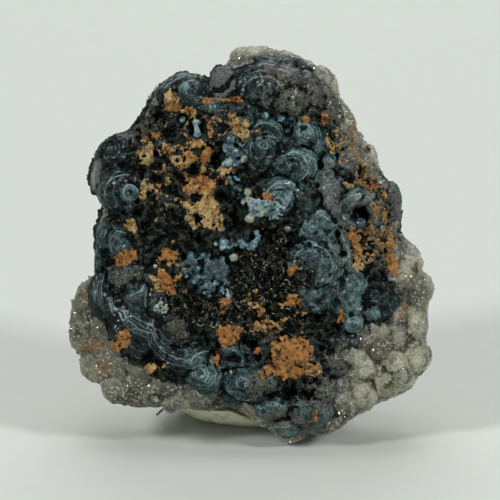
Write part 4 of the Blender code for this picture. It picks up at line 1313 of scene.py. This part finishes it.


# %% [markdown]
# The crust's stone runs from black through slate blue to pale blue-grey. On it lie growth lines, each with
# a brightness of its own, painted shade in creases, a painted highlight on proud places, brown and mauve
# parts, and a stain of clay. Thin lines come from the stored number of bands, so they stay sharp however
# coarse the mesh is.

# %% Finish of the crust
crust = Finish("banded_chalcedony", IOR=1.54, Specular_IOR_Level=0.03, Coat_Roughness=0.18)
fine = crust.noise(0.22, 4, 0.2)
middling = crust.noise(0.7, 3, 0.4)
broad = crust.noise(2.6, 2, 0.6)
phase = crust.stored("phase")
hollow = crust.stored("hollow")
crumble = crust.stored("crumble")
tone = crust.stored("tone") * 0.8 + middling.swing(1.5) + broad.swing(1.3) + fine.swing(1.3)
stone = crust.ramp(
    tone * 0.5 + 0.5,
    (0.10, (0.001, 0.0014, 0.001)),
    (0.38, (0.0025, 0.0060, 0.0050)),
    (0.50, (0.0065, 0.0175, 0.0170)),
    (0.66, (0.025, 0.052, 0.053)),
    (0.90, (0.125, 0.185, 0.182)),
)
bluer = crust.noise(1.7, 2, 2.2).between(0.4, 0.7)
stone = crust.mix(bluer * 0.45, stone, crust.mix(0.4, stone, (0.014, 0.045, 0.065)))
fleck = crust.noise(0.36, 3, 4.4).between(0.55, 0.68)
pale_stone = tone.between(-1.1, 0.2)
stone = crust.mix(fleck * pale_stone * 0.5, stone, (0.10, 0.155, 0.15))
pock = crust.noise(0.45, 3, 5.5).between(0.56, 0.68)
stone = crust.mix(pock * 0.7, stone, (0.003, 0.007, 0.006))
sooty = crust.mix(middling.between(0.42, 0.66), (0.0012, 0.0018, 0.0008), (0.028, 0.032, 0.018))
knob = crust.node("ShaderNodeSeparateColor", inputs={"Color": crust.cells(0.8, "Color")}).between(0.6, 0.9)
sooty = crust.mix(knob * 0.6, sooty, (0.020, 0.036, 0.040))
stone = crust.mix(crumble * 0.85, stone, sooty)
brown = (crust.stored("brown") + middling.swing(0.9)).between(0.45, 0.7)
earthy = crust.mix(fine.between(0.3, 0.7), (0.010, 0.010, 0.007), (0.11, 0.105, 0.08))
stone = crust.mix(brown * 0.8, stone, earthy)
mauve = (crust.stored("mauve") + broad.swing(0.4)).between(0.4, 0.75)
grey = crust.mix((middling + fine - 0.5).between(0.2, 0.8), (0.024, 0.028, 0.027), (0.125, 0.118, 0.104))
stone = crust.mix(mauve * 0.75, stone, grey)

# %% [markdown]
# A growth line is brightest at its edge and fades outwards. Each ring has a luck of its own, so a few lines
# are bright and most are faint, and noise breaks them where the surface is worn.

# %% Growth lines, clay, painted shade and painted highlight
ring = phase.math("FLOOR", phase)
luck = crust.node("ShaderNodeTexWhiteNoise", {"noise_dimensions": "1D"}, {"W": ring})
line = (1 - (phase - ring)) ** 4 * luck ** 2
close = phase * 2.7
close_ring = close.math("FLOOR", close)
close_luck = crust.node("ShaderNodeTexWhiteNoise", {"noise_dimensions": "1D"}, {"W": close_ring})
line = line + (1 - (close - close_ring)) ** 2 * close_luck ** 2 * 0.35
worn = crust.noise(1.3, 3, 1.1).between(0.34, 0.56)
line = line * crust.stored("lines") * worn
stone = crust.mix((line * 0.9).between(0.05, 1.0), stone, (0.12, 0.18, 0.18))
off_line = crust.node("ShaderNodeMath", {"operation": "ABSOLUTE"}, {0: crust.stored("line")})
glow = (1 - off_line / 0.34).between(0.0, 1.0) * crust.stored("line_light") * (1 - crumble)
stone = crust.mix(glow * 0.3, stone, (0.065, 0.11, 0.115))
drawn = (1 - off_line / 0.105).between(0.0, 0.9)
patchy = (crust.noise(0.9, 3, 3.1) - 0.5) * 1.6 + fine + 0.1
drawn = drawn * crust.stored("line_light") * patchy.between(0.1, 0.9) * (1 - crumble * 0.85)
stone = crust.mix(drawn * 0.95, stone, (0.24, 0.35, 0.355))
speckle = crust.cells(0.19, "Color")
specks = crust.node("ShaderNodeSeparateColor", inputs={"Color": speckle}).between(0.9, 0.98)
specks = specks * fine.between(0.4, 0.6)
stone = crust.mix(specks * crust.stored("sparkle") * 0.6, stone, (0.30, 0.33, 0.32))
slab = (crust.stored("slab") + middling.swing(0.3)).between(0.45, 0.56)
slab_grey = crust.mix(fine.between(0.3, 0.7), (0.050, 0.057, 0.053), (0.15, 0.168, 0.160))
stone = crust.mix(slab * 0.95, stone, slab_grey)
stain = (crust.stored("clay") + fine.swing(0.5)).between(0.46, 0.56)
orange = (crust.stored("orange") * 0.7 + 0.5 + middling.swing(1.4)).between(0.2, 0.9)
clay_colour = crust.mix(orange, (0.34, 0.25, 0.11), (0.25, 0.115, 0.033))
dark_clay = crust.mix(0.7, clay_colour, (0.03, 0.012, 0.004))
clay_colour = crust.mix(fine.between(0.35, 0.6), dark_clay, clay_colour)
stone = crust.mix(stain, stone, clay_colour)
# Painted shade: creases, where the stored hollow is deep, are darkened almost to black.
stone = crust.mix(hollow.between(0.0, 0.13) * 0.97, stone, (0.0015, 0.0015, 0.0015))
# Painted highlight: proud places on the lighter stone are lightened towards pale blue-grey.
painted_highlight = (hollow * -1).between(0.04, 0.2) * (1 - crumble * 0.4) * middling.between(0.35, 0.65)
stone = crust.mix(painted_highlight * pale_stone * 0.3, stone, (0.13, 0.17, 0.165))
crust.set(
    Base_Color=stone, Roughness=stain * 0.4 + 0.45 + fine.swing(0.3),
    Coat_Weight=(1 - stain) * (1 - crumble * 0.9) * (1 - hollow.between(0.0, 0.12) * 0.8) * 0.3,
)
crust.bump(fine * 0.7 + line * 0.6 + crust.cells(0.22) * (crust.stored("sparkle") + crumble) * 0.7, 0.08, 0.9)

banded_crust = piece("banded_crust", crust_mesh, crust)
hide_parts("rose")

# %% [markdown]
# Quartz itself is clear, but a mass of it is full of cracks and grain boundaries that scatter light, so the
# body is pale, grey and slightly translucent, with olive and rusty dirt where grains meet.

# %% Finish of the quartz body
quartz = Finish(
    "pale_quartz", IOR=1.54, Specular_IOR_Level=0.3, Subsurface_Weight=0.35, Subsurface_Scale=0.7 * MM
)
quartz.shader.inputs["Subsurface Radius"].default_value = (1.0, 1.0, 0.9)
fine = quartz.noise(0.2, 3, 0.3)
middling = quartz.noise(1.1, 3, 0.5)
broad = quartz.noise(5.0, 2, 0.7)
hollow = quartz.stored("hollow")
clear = quartz.ramp(
    middling * 0.75 + fine * 0.25,
    (0.33, (0.040, 0.041, 0.027)),
    (0.47, (0.125, 0.127, 0.088)),
    (0.62, (0.32, 0.325, 0.24)),
)
lump = quartz.stored("lump")
clear = quartz.mix((lump + broad - 0.5).between(0.0, 0.6) * 0.5, clear, (0.130, 0.122, 0.122))
clear = quartz.mix((0.4 - lump).between(0.0, 0.8) * 0.5, clear, (0.37, 0.365, 0.235))
grains = quartz.node("ShaderNodeSeparateColor", inputs={"Color": quartz.cells(0.3, "Color")})
clear = quartz.mix(grains.between(0.6, 1.0) * 0.35, clear, (0.40, 0.41, 0.34))
clear = quartz.mix((1 - grains).between(0.6, 1.0) * 0.4, clear, (0.045, 0.045, 0.032))
olive = (quartz.noise(1.8, 4, 1.3) + hollow * 0.6).between(0.58, 0.72)
clear = quartz.mix(olive * 0.7, clear, (0.085, 0.06, 0.022))
# Painted shade: next to and under the crust's edge, the quartz is darkened by this mix.
near_crust = (quartz.stored("under_crust") + middling.swing(1.2)).between(0.3, 0.8)
shade = quartz.mix(fine.between(0.35, 0.65), (0.01, 0.012, 0.011), (0.12, 0.122, 0.1))
clear = quartz.mix(near_crust * 0.8, clear, shade)
# Painted shade: hollows are darkened to a dark olive-brown.
clear = quartz.mix(hollow.between(0.0, 0.16) * 0.9, clear, (0.026, 0.021, 0.010))
seam = (1 - quartz.stored("seam") / 0.11).between(0.0, 1.0) * (middling * 1.4).between(0.3, 0.8)
clear = quartz.mix(seam * 0.85, clear, (0.034, 0.025, 0.010))
# Painted highlight: proud places are lightened towards pale olive-grey.
clear = quartz.mix((hollow * -1).between(0.05, 0.25) * 0.35, clear, (0.44, 0.45, 0.36))
smoky = (quartz.stored("smoky") + middling.swing(0.7)).between(0.3, 0.8)
smoke = quartz.mix(middling.between(0.35, 0.65), (0.008, 0.008, 0.004), (0.110, 0.108, 0.068))
clear = quartz.mix(smoky * 0.9, clear, smoke)
rust = (quartz.stored("rust") + (quartz.noise(0.6, 3, 2.7) - 0.5) * 1.3).between(0.5, 0.75)
stain = quartz.mix(fine.between(0.35, 0.6), (0.055, 0.028, 0.009), (0.20, 0.115, 0.042))
clear = quartz.mix(rust * 0.85, clear, stain)
quartz.set(Base_Color=clear, Roughness=0.28 + fine * 0.3)
quartz.bump(quartz.cells(0.3) + fine * 0.6, 0.11, 0.9)

quartz_body = piece("quartz_body", quartz_mesh, quartz)
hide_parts("rose")

# %% [markdown]
# Every grain of druse is a copy of one small crystal, a six-sided pyramid on a short prism.


# %% One crystal
def crystal_kernel():
    """One crystal of radius 1, with its foot sunk below z = 0."""
    body = bmesh.new()
    add_crystal(body, Vector((0, 0, 0)), Vector((0, 0, 1)), 1.0)
    return as_mesh(body, "crystal")


crystal = crystal_kernel()
print("one crystal has", triangles(crystal), "triangles")

# %% [markdown]
# The druse: thousands of small clear crystals that stand on the quartz. They lean at random, so that some
# face always catches a light. They are clear, so the pale body shows through them.

# %% The druse
RIM_DRUSE = 5200
BACK_DRUSE = 3400
DRUSE_TILT = 0.3
DRUSE_SINK = 0.45
druse = Finish("clear_druse", IOR=1.54, Transmission_Weight=0.75, Roughness=0.1)
tint = druse.noise(2.2).between(0.35, 0.65)
druse.set(Base_Color=druse.mix(tint, (0.84, 0.85, 0.79), (0.68, 0.66, 0.52)))


def on_rim(points, normals):
    return shown(points) * (points[:, 2] > BACK_STARTS) * (normals[:, 2] > -0.3)


def on_back(points, normals):
    return (points[:, 2] <= BACK_STARTS) * 1.0


back_to_face = STAND_UP.inverted()
quartz_flat = quartz_mesh.copy()
quartz_flat.transform(back_to_face)
for name, count, chance, (small, large), seed in (
    ("rim_druse", RIM_DRUSE, on_rim, (0.12, 0.3), 11),
    ("back_druse", BACK_DRUSE, on_back, (0.2, 0.75), 12),
):
    spots, out, dice = sampled(quartz_flat, count, chance, seed)
    axes = out + DRUSE_TILT * dice.normal(size=out.shape)
    radius = small + (large - small) * dice.random(count) ** 2
    stretch = np.stack([np.ones(count), np.ones(count), dice.uniform(0.6, 1.0, count)], axis=1)
    sizes = radius[:, None] * stretch
    mesh = scattered(crystal, spots - out * radius[:, None] * DRUSE_SINK, turns_towards(axes, dice), sizes)
    piece(name, mesh, druse)
    mesh.shade_flat()

# %% [markdown]
# The clay is crumbs stuck together. Each patch is filled with small uneven balls that a voxel Remesh fuses,
# and cells and grain then eat holes in the surface.

# %% The clay
CLAY_CRUMBS = 6200
CRUMB_RADII = (0.07, 0.21)
CRUMB_LIFT = 0.25
CLAY_VOXEL = 0.12
CLAY_TRIANGLES = 150000
crust_flat = crust_mesh.copy()
crust_flat.transform(back_to_face)


def on_clay(points, normals):
    return rising(clay_field(points), 0.5, 6) * (points[:, 2] > -0.5) * (normals[:, 2] > -0.1)


spots, out, dice = sampled(crust_flat, CLAY_CRUMBS, on_clay, 31)
radius = dice.uniform(*CRUMB_RADII, CLAY_CRUMBS)
sizes = radius[:, None] * dice.uniform(0.6, 1.3, (CLAY_CRUMBS, 3))
lumps = scattered(ball_mesh(2), spots + out * radius[:, None] * CRUMB_LIFT, turns_towards(out, dice), sizes)
clay_mesh = with_modifier(lumps, "REMESH", mode="VOXEL", voxel_size=CLAY_VOXEL)
points = places(clay_mesh)
near, _, _, _ = cells(points, 0.45, 41)
points += directions(clay_mesh) * (0.07 * rough(points, 0.4, 42) + 0.08 * (0.5 - near))[:, None]
move_to(clay_mesh, points)
clay_mesh = thinned(clay_mesh, CLAY_TRIANGLES)
points = places(clay_mesh)
keep(
    clay_mesh,
    orange=patch_field(points, ORANGE_CLAY) - patch_field(points, CREAM_CLAY),
    hollow=hollowness(clay_mesh, 6),
    lacy=patch_field(points, LACY, 1.0),
)

clay = Finish("ochre_clay", Roughness=0.9, Specular_IOR_Level=0.25)
fine = clay.noise(0.18, 4, 0.4)
middling = clay.noise(0.7, 3, 0.8)
orange = (clay.stored("orange") * 0.6 + 0.5 + middling.swing(2.2)).between(0.1, 0.9)
earth = clay.mix(orange, (0.41, 0.31, 0.135), (0.32, 0.145, 0.042))
olive = clay.noise(1.1, 3, 2.9).between(0.42, 0.58) * clay.stored("lacy").between(0.3, 0.6)
earth = clay.mix(olive * 0.8, earth, (0.125, 0.125, 0.066))
earth = clay.mix(clay.noise(0.9, 3, 1.7).between(0.48, 0.64) * 0.75, earth, (0.14, 0.055, 0.014))
earth = clay.mix(fine.between(0.3, 0.6), clay.mix(0.6, earth, (0.06, 0.022, 0.006)), earth)
# Painted shade: hollows between the crumbs are darkened.
earth = clay.mix(clay.stored("hollow").between(0.0, 0.1) * 0.92, earth, (0.035, 0.014, 0.005))
clay.set(Base_Color=earth)
clay.bump(fine, 0.05, 0.8)
piece("ochre_clay", clay_mesh, clay)

# %% [markdown]
# Bright blue growths stand in the hollows: round beads, short stalactites and lace of small knobs. They are
# heaps of balls, fused so finely that each ball still shows.

# %% The blue growths
GROWTH_VOXEL = 0.11
GROWTH_TRIANGLES = 160000
BEAD_LIFT = 0.35
STALK_SINK = 0.8
BEADS = (
    (1.8, 16.5, 0.5, 0.5), (3.9, 16.1, 0.5, 0.45), (4.7, 14.7, 0.45, 0.4), (-2.4, 13.6, 0.8, 0.3),
    (-2.7, 12.6, 0.75, 0.35), (-1.8, 12.0, 0.7, 0.5), (-1.1, 11.9, 0.55, 0.7), (-0.7, 11.2, 0.5, 0.85),
    (-2.4, 10.8, 0.5, 0.75), (-3.0, 10.5, 0.5, 0.6), (-8.4, 16.1, 0.55, 0.45), (0.0, 3.9, 0.6, 0.95),
    (-0.3, 7.1, 0.5, 0.95), (4.6, 2.7, 0.45, 0.7), (-2.0, -0.9, 0.5, 0.75), (13.5, 3.3, 0.75, 0.1),
    (-11.6, -2.0, 0.3, 0.8),
)
# Each lace or clump: (across, up, half width, half height, degrees turned, knobs, knob radius, paleness)
CLUMPS = (
    (2.0, 5.0, 2.3, 1.15, -10, 170, 0.25, 0.66), (-0.1, 5.9, 0.9, 0.8, 0, 34, 0.27, 0.66),
    (-5.4, -2.3, 2.9, 2.0, -10, 120, 0.38, 0.26), (-4.5, -4.5, 1.8, 1.2, 20, 50, 0.3, 0.36),
    (-2.8, -5.4, 0.7, 0.6, 30, 12, 0.26, 0.7), (-3.1, 0.7, 1.3, 0.6, -15, 24, 0.34, 0.45),
    (-1.5, 11.9, 1.3, 1.9, -25, 40, 0.32, 0.35), (-10.9, -7.0, 0.9, 0.8, 0, 16, 0.26, 0.8),
    (-1.8, 8.2, 0.7, 1.5, 20, 20, 0.26, 0.3),
)
# Each stalk: how thick, how far above the plain surface, how pale, and the places that it runs through
STALKS = (
    (0.5, 0.2, 0.5, ((-1.2, 0.95), (-0.8, 0.6), (-0.3, 0.4), (0.15, 0.45), (0.5, 0.7))),
    (0.36, 0.35, 0.6, ((0.75, 1.0), (0.95, 1.3), (1.0, 1.7), (0.85, 2.1))),
    (0.36, 0.0, 0.6, ((-6.6, 15.6), (-6.6, 15.3), (-6.55, 15.0), (-6.55, 14.7), (-6.5, 14.4))),
    (0.55, 0.0, 0.55, ((-6.45, 14.1), (-6.6, 15.8))),
)

surface = BVHTree.FromPolygons(
    [vert.co for vert in crust_flat.vertices], [face.vertices for face in crust_flat.polygons]
)


def skin_height(across, up):
    """How far out the crust is at this place on the face, in mm."""
    hit = surface.ray_cast(Vector((across, up, 30)), Vector((0, 0, -1)))[0]
    return hit.z if hit else float(depth_at(across, up))


body = bmesh.new()
paleness = []
for across, up, radius, pale in BEADS:
    middle = Vector((across, up, skin_height(across, up) + BEAD_LIFT * radius))
    add_ball(body, middle, (radius, radius, radius), finer=3)
    paleness.append((across, up, radius, pale))
for radius, lift, pale, way in STALKS:
    for across, up in way:
        height = max(float(depth_at(across, up)) - STALK_SINK, skin_height(across, up)) + lift
        add_ball(body, Vector((across, up, height)), (radius,) * 3, finer=3)
        paleness.append((across, up, radius, pale))
for number, (across, up, half_width, half_height, turn, knobs, size, pale) in enumerate(CLUMPS):
    dice = np.random.default_rng(50 + number)
    c, s = math.cos(math.radians(turn)), math.sin(math.radians(turn))
    out, angle = np.sqrt(dice.random(knobs)), dice.uniform(0, 2 * math.pi, knobs)
    right, high = half_width * out * np.cos(angle), half_height * out * np.sin(angle)
    x, y = across + right * c - high * s, up + right * s + high * c
    lift = dice.uniform(-0.6, 1.1, knobs) * size + 0.25 * (1 - out)
    heights = np.array([skin_height(*spot) for spot in zip(x, y)])
    sizes = size * dice.uniform(0.3, 1.3, (knobs, 1)) * dice.uniform(0.6, 1.4, (knobs, 3))
    turns = dice.uniform(0, 3, (knobs, 3))
    body.from_mesh(scattered(ball_mesh(2), np.column_stack([x, y, heights + lift]), turns, sizes))
    paleness.append((across, up, max(half_width, half_height) * 0.6, pale))
growth_mesh = fused(body, GROWTH_VOXEL)
points = places(growth_mesh)
points += directions(growth_mesh) * (0.09 * rough(points, 0.6, 61))[:, None]
move_to(growth_mesh, points)
growth_mesh = thinned(growth_mesh, GROWTH_TRIANGLES)
points = places(growth_mesh)
spots = np.array(paleness)
right, high = points[:, 0, None] - spots[None, :, 0], points[:, 1, None] - spots[None, :, 1]
far = np.hypot(right, high) / spots[None, :, 2]
keep(growth_mesh, pale=spots[far.argmin(axis=1), 3], hollow=hollowness(growth_mesh, 8))

growth = Finish("blue_growths", IOR=1.54, Roughness=0.3, Subsurface_Weight=0.25, Subsurface_Scale=0.3 * MM)
fine = growth.noise(0.2, 3, 0.3)
middling = growth.noise(0.8, 2, 0.6)
pale = (growth.stored("pale") + middling.swing(1.5) + fine.swing(0.8)).between(0.0, 1.0)
blue = growth.ramp(
    pale, (0.1, (0.006, 0.020, 0.026)), (0.35, (0.026, 0.075, 0.100)), (0.6, (0.095, 0.175, 0.205)),
    (0.82, (0.24, 0.33, 0.32)), (1.0, (0.19, 0.18, 0.11)),
)
# Painted shade: the gaps between the balls are darkened.
blue = growth.mix(growth.stored("hollow").between(0.0, 0.1) * 0.93, blue, (0.008, 0.014, 0.02))
growth.set(Base_Color=blue)
growth.bump(fine, 0.03, 0.6)
piece("blue_growths", growth_mesh, growth)

# %% [markdown]
# In the black, crumbled parts the first skin of many small bubbles has broken open. What is left are thin
# cups whose pale lips catch the light. One cup is most of a hollow ball with a thin wall, cut open at the
# top.

# %% The broken skins
SKINS = 1600
SKIN_LIFT = 0.1
CUP_RIM = 0.35
CUP_FOOT = -0.5
CUP_WALL = 0.16
skin_ball = bmesh.new()
bmesh.ops.create_uvsphere(skin_ball, u_segments=7, v_segments=6, radius=1)
for height, slant, over in ((CUP_RIM, 0.3, True), (CUP_FOOT, 0, False)):
    whole = skin_ball.verts[:] + skin_ball.edges[:] + skin_ball.faces[:]
    bmesh.ops.bisect_plane(
        skin_ball, geom=whole, dist=1e-4, plane_co=(0, 0, height), plane_no=(0, slant, 1),
        clear_outer=over, clear_inner=not over,
    )
bmesh.ops.solidify(skin_ball, geom=skin_ball.faces[:], thickness=CUP_WALL)
bmesh.ops.recalc_face_normals(skin_ball, faces=skin_ball.faces[:])
cup = as_mesh(skin_ball, "cup")
keep(cup, lip=np.clip(places(cup)[:, 2] * 1.6 + 0.4, 0, 1))


SKINNED = (
    (1.6, -4.6, 5.2, 3.8, 0), (-4.6, -7.4, 4.0, 1.8, 0), (-0.6, -9.0, 2.8, 1.6, 0), (2.6, 1.6, 2.2, 2.0, 0),
    (4.0, -9.0, 3.0, 1.4, 0),
)


def on_crumble(points, normals):
    field = patch_field(points, SKINNED, 1.0) + 0.35 * rough(points, 1.4, 8, 2)
    return rising(field, 0.35, 4) * (normals[:, 2] > 0) * (clay_field(points) < 0.5)


spots, out, dice = sampled(crust_flat, SKINS, on_crumble, 71)
axes = out + 0.6 * dice.normal(size=out.shape) + np.array((0, 0, 0.5))
radius = 0.1 + 0.24 * dice.random(SKINS) ** 1.5
sizes = radius[:, None] * dice.uniform(0.6, 1.4, (SKINS, 3))
sizes *= dice.uniform(0.5, 1.5, (SKINS, 3))
turns = turns_towards(axes, dice)
skin_mesh = scattered(cup, spots + out * radius[:, None] * SKIN_LIFT, turns, sizes, luck=dice.random(SKINS))
points = places(skin_mesh)
for axis in range(3):
    points[:, axis] += 0.2 * rough(points, 0.4, 90 + axis, 2)
move_to(skin_mesh, points)

skins = Finish("broken_skins", IOR=1.5, Roughness=0.5, Specular_IOR_Level=0.12)
lip = skins.stored("lip").between(0.5, 1.0) * skins.stored("luck").between(0.45, 1.0)
pale_lip = skins.mix(skins.noise(1.6), (0.20, 0.25, 0.23), (0.46, 0.41, 0.27))
skins.set(Base_Color=skins.mix(lip, (0.0025, 0.003, 0.002), pale_lip))
piece("broken_skins", skin_mesh, skins)

# %% [markdown]
# The putty is a soft, matt lump that was pinched into shape. Its solid already has the right form, so a
# merged copy of it is remeshed finely and gets the shallow dents of fingers.

# %% The putty
MM_PER_METRE = 1000
PUTTY_VOXEL = 0.2
PUTTY_ROUNDS = 3
DENT_FADE = 0.8
lump = bmesh.new()
lump.from_mesh(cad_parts["putty"].data)
bmesh.ops.remove_doubles(lump, verts=lump.verts[:], dist=1e-6)
bmesh.ops.scale(lump, vec=[MM_PER_METRE] * 3, verts=lump.verts[:])
putty_mesh = fused(lump, PUTTY_VOXEL)
soft = bmesh.new()
soft.from_mesh(putty_mesh)
for _ in range(PUTTY_ROUNDS):
    bmesh.ops.smooth_vert(
        soft, verts=soft.verts[:], factor=0.5, use_axis_x=True, use_axis_y=True, use_axis_z=True
    )
soft.to_mesh(putty_mesh)
soft.free()
points = places(putty_mesh)
dents = 0.16 * rough(points, 3.0, 81, 2) + 0.05 * rough(points, 0.8, 82, 2)
points += directions(putty_mesh) * (dents * np.clip(points[:, 2] / DENT_FADE, 0, 1))[:, None]
points[:, 2] = np.maximum(points[:, 2], 0)
move_to(putty_mesh, points / MM_PER_METRE)

putty = Finish(
    "display_putty", Roughness=0.75, Specular_IOR_Level=0.3, Subsurface_Weight=0.1, Subsurface_Scale=MM
)
smudge = putty.noise(1.6, 4, 0.5).between(0.5, 0.72)
matt = putty.mix(putty.noise(3.0, 2, 0.2), (0.66, 0.66, 0.47), (0.78, 0.78, 0.57))
putty.set(Base_Color=putty.mix(smudge * 0.55, matt, (0.22, 0.21, 0.14)))
putty.bump(putty.noise(0.3, 3, 0.1), 0.04, 0.5)
putty_lump = piece("putty_lump", putty_mesh, putty, stand=False)
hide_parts("putty")

# %% [markdown]
# One dry, forked root fibre hangs from the underside beside the putty. It is a thin cone with a second one
# branching off, bent a little by noise.

# %% The root fibre
# Each twig: (from across, from up, to across, to up, thickness), on the face, in mm
TWIGS = (
    (-10.2, -18.9, -10.9, -19.9, 0.2), (-10.9, -19.9, -11.6, -20.6, 0.17), (-10.7, -19.5, -9.9, -20.4, 0.14),
)
TWIG_DEPTH = -0.4
TWIG_SIDES = 10
TWIG_TAPER = 0.7
TWIG_OVERLAP = 1.25
TWIG_VOXEL = 0.05
TWIG_TRIANGLES = 4000

fibre = bmesh.new()
for from_across, from_up, to_across, to_up, thick in TWIGS:
    start, end = Vector((from_across, from_up, TWIG_DEPTH)), Vector((to_across, to_up, TWIG_DEPTH))
    along = end - start
    place = Matrix.Translation((start + end) / 2) @ along.to_track_quat("Z", "Y").to_matrix().to_4x4()
    bmesh.ops.create_cone(
        fibre, cap_ends=True, segments=TWIG_SIDES, radius1=thick, radius2=TWIG_TAPER * thick,
        depth=TWIG_OVERLAP * along.length, matrix=place,
    )
fibre_mesh = fused(fibre, TWIG_VOXEL)
points = places(fibre_mesh)
points += directions(fibre_mesh) * (0.05 * rough(points, 0.4, 95, 2))[:, None]
move_to(fibre_mesh, points)
root = Finish("dry_root", Roughness=0.85, Specular_IOR_Level=0.2)
root.set(Base_Color=root.mix(root.noise(0.2, 3), (0.06, 0.045, 0.03), (0.24, 0.2, 0.14)))
root.bump(root.noise(0.12, 2), 0.02, 0.6)
piece("root_fibre", thinned(fibre_mesh, TWIG_TRIANGLES), root)

# %% [markdown]
# The specimen stands in a wide bowl of pale paper. It is flat in the middle and curves up all round, so
# that no horizon shows from any side, and a camera can go right round the specimen inside it. Its profile
# is a floor line, a quarter bend and a short wall, which are spun once round. Soft lamps stand above it.

# %% Floor, light and camera
PAPER_FLAT = 0.6
PAPER_BEND = 0.16
PAPER_TOP = 0.3
PAPER_BEND_STEPS = 16
PAPER_STEPS = 96
CAMERA_DISTANCE = 0.4
PICTURE_SPAN = 0.0625

ground = bmesh.new()
hub = ground.verts.new((0, 0, 0))
bend = ground.verts.new((PAPER_FLAT, 0, 0))
ground.edges.new((hub, bend))
turned = bmesh.ops.spin(
    ground, geom=[bend], cent=(PAPER_FLAT, 0, PAPER_BEND), axis=(0, -1, 0), angle=math.pi / 2,
    steps=PAPER_BEND_STEPS,
)
end = next(item for item in turned["geom_last"] if isinstance(item, bmesh.types.BMVert))
top = ground.verts.new((end.co.x, 0, PAPER_TOP))
ground.edges.new((end, top))
profile = ground.verts[:] + ground.edges[:]
bmesh.ops.spin(ground, geom=profile, axis=(0, 0, 1), angle=2 * math.pi, steps=PAPER_STEPS, use_merge=True)
bmesh.ops.remove_doubles(ground, verts=ground.verts[:], dist=1e-5)
floor_mesh = bpy.data.meshes.new("floor")
ground.to_mesh(floor_mesh)
floor = bpy.data.objects.new("floor", floor_mesh)
bpy.context.scene.collection.objects.link(floor)
paper = Finish("pale_paper", Roughness=0.9, Specular_IOR_Level=0.2)
paper.set(Base_Color=paper.mix(paper.noise(3.0, 3), (0.50, 0.53, 0.495), (0.53, 0.56, 0.525)))
floor_mesh.materials.append(paper.material)
floor_mesh.shade_smooth()

face_middle = Vector(FACE_MIDDLE) * MM
outward = Vector((0, -math.cos(LEAN), math.sin(LEAN)))


def add_lamp(name, aim, towards, distance, width, height, power):
    light = bpy.data.lights.new(name, "AREA")
    light.shape = "RECTANGLE"
    light.size = width
    light.size_y = height
    light.energy = power
    lamp = bpy.data.objects.new(name, light)
    away = Vector(towards).normalized()
    lamp.location = aim + away * distance
    lamp.rotation_mode = "QUATERNION"
    lamp.rotation_quaternion = away.to_track_quat("Z", "Y")
    bpy.context.scene.collection.objects.link(lamp)


paper_behind = Vector((0, 0.4, 0))
# Each lamp: its name, what it is aimed at, the way to it, and its distance, width, height and power
LAMPS = (
    ("left_lamp", face_middle, (-1.0, -0.9, 0.9), 0.7, 0.13, 0.13, 2.8),
    ("right_lamp", face_middle, (1.1, -0.8, 0.8), 0.7, 0.13, 0.13, 3.0),
    ("top_lamp", face_middle, (0.0, 0.1, 1.0), 0.6, 0.4, 0.3, 1.1),
    ("front_fill", face_middle, (0.0, -1.0, 0.45), 0.7, 0.5, 0.3, 0.45),
    ("back_lamp", paper_behind, (0.0, 0.1, 1.0), 0.5, 0.5, 0.3, 2.3),
)
for lamp in LAMPS:
    add_lamp(*lamp)

world = bpy.data.worlds.new("tent")
world.use_nodes = True
world.node_tree.nodes["Background"].inputs["Color"].default_value = (0.95, 1.0, 0.97, 1)
world.node_tree.nodes["Background"].inputs["Strength"].default_value = 0.05
bpy.context.scene.world = world
bpy.context.scene.view_settings.view_transform = "Standard"

lens_data = bpy.data.cameras.new("camera")
lens_data.lens = lens_data.sensor_width * CAMERA_DISTANCE / PICTURE_SPAN
lens_data.clip_start = 0.01
camera = bpy.data.objects.new("camera", lens_data)
camera.location = face_middle + outward * CAMERA_DISTANCE
camera.rotation_euler = (math.pi / 2 - LEAN, 0, 0)
bpy.context.scene.collection.objects.link(camera)
bpy.context.scene.camera = camera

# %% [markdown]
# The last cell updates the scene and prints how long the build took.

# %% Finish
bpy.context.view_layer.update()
print("all built in", round(time.time() - started, 1), "s")
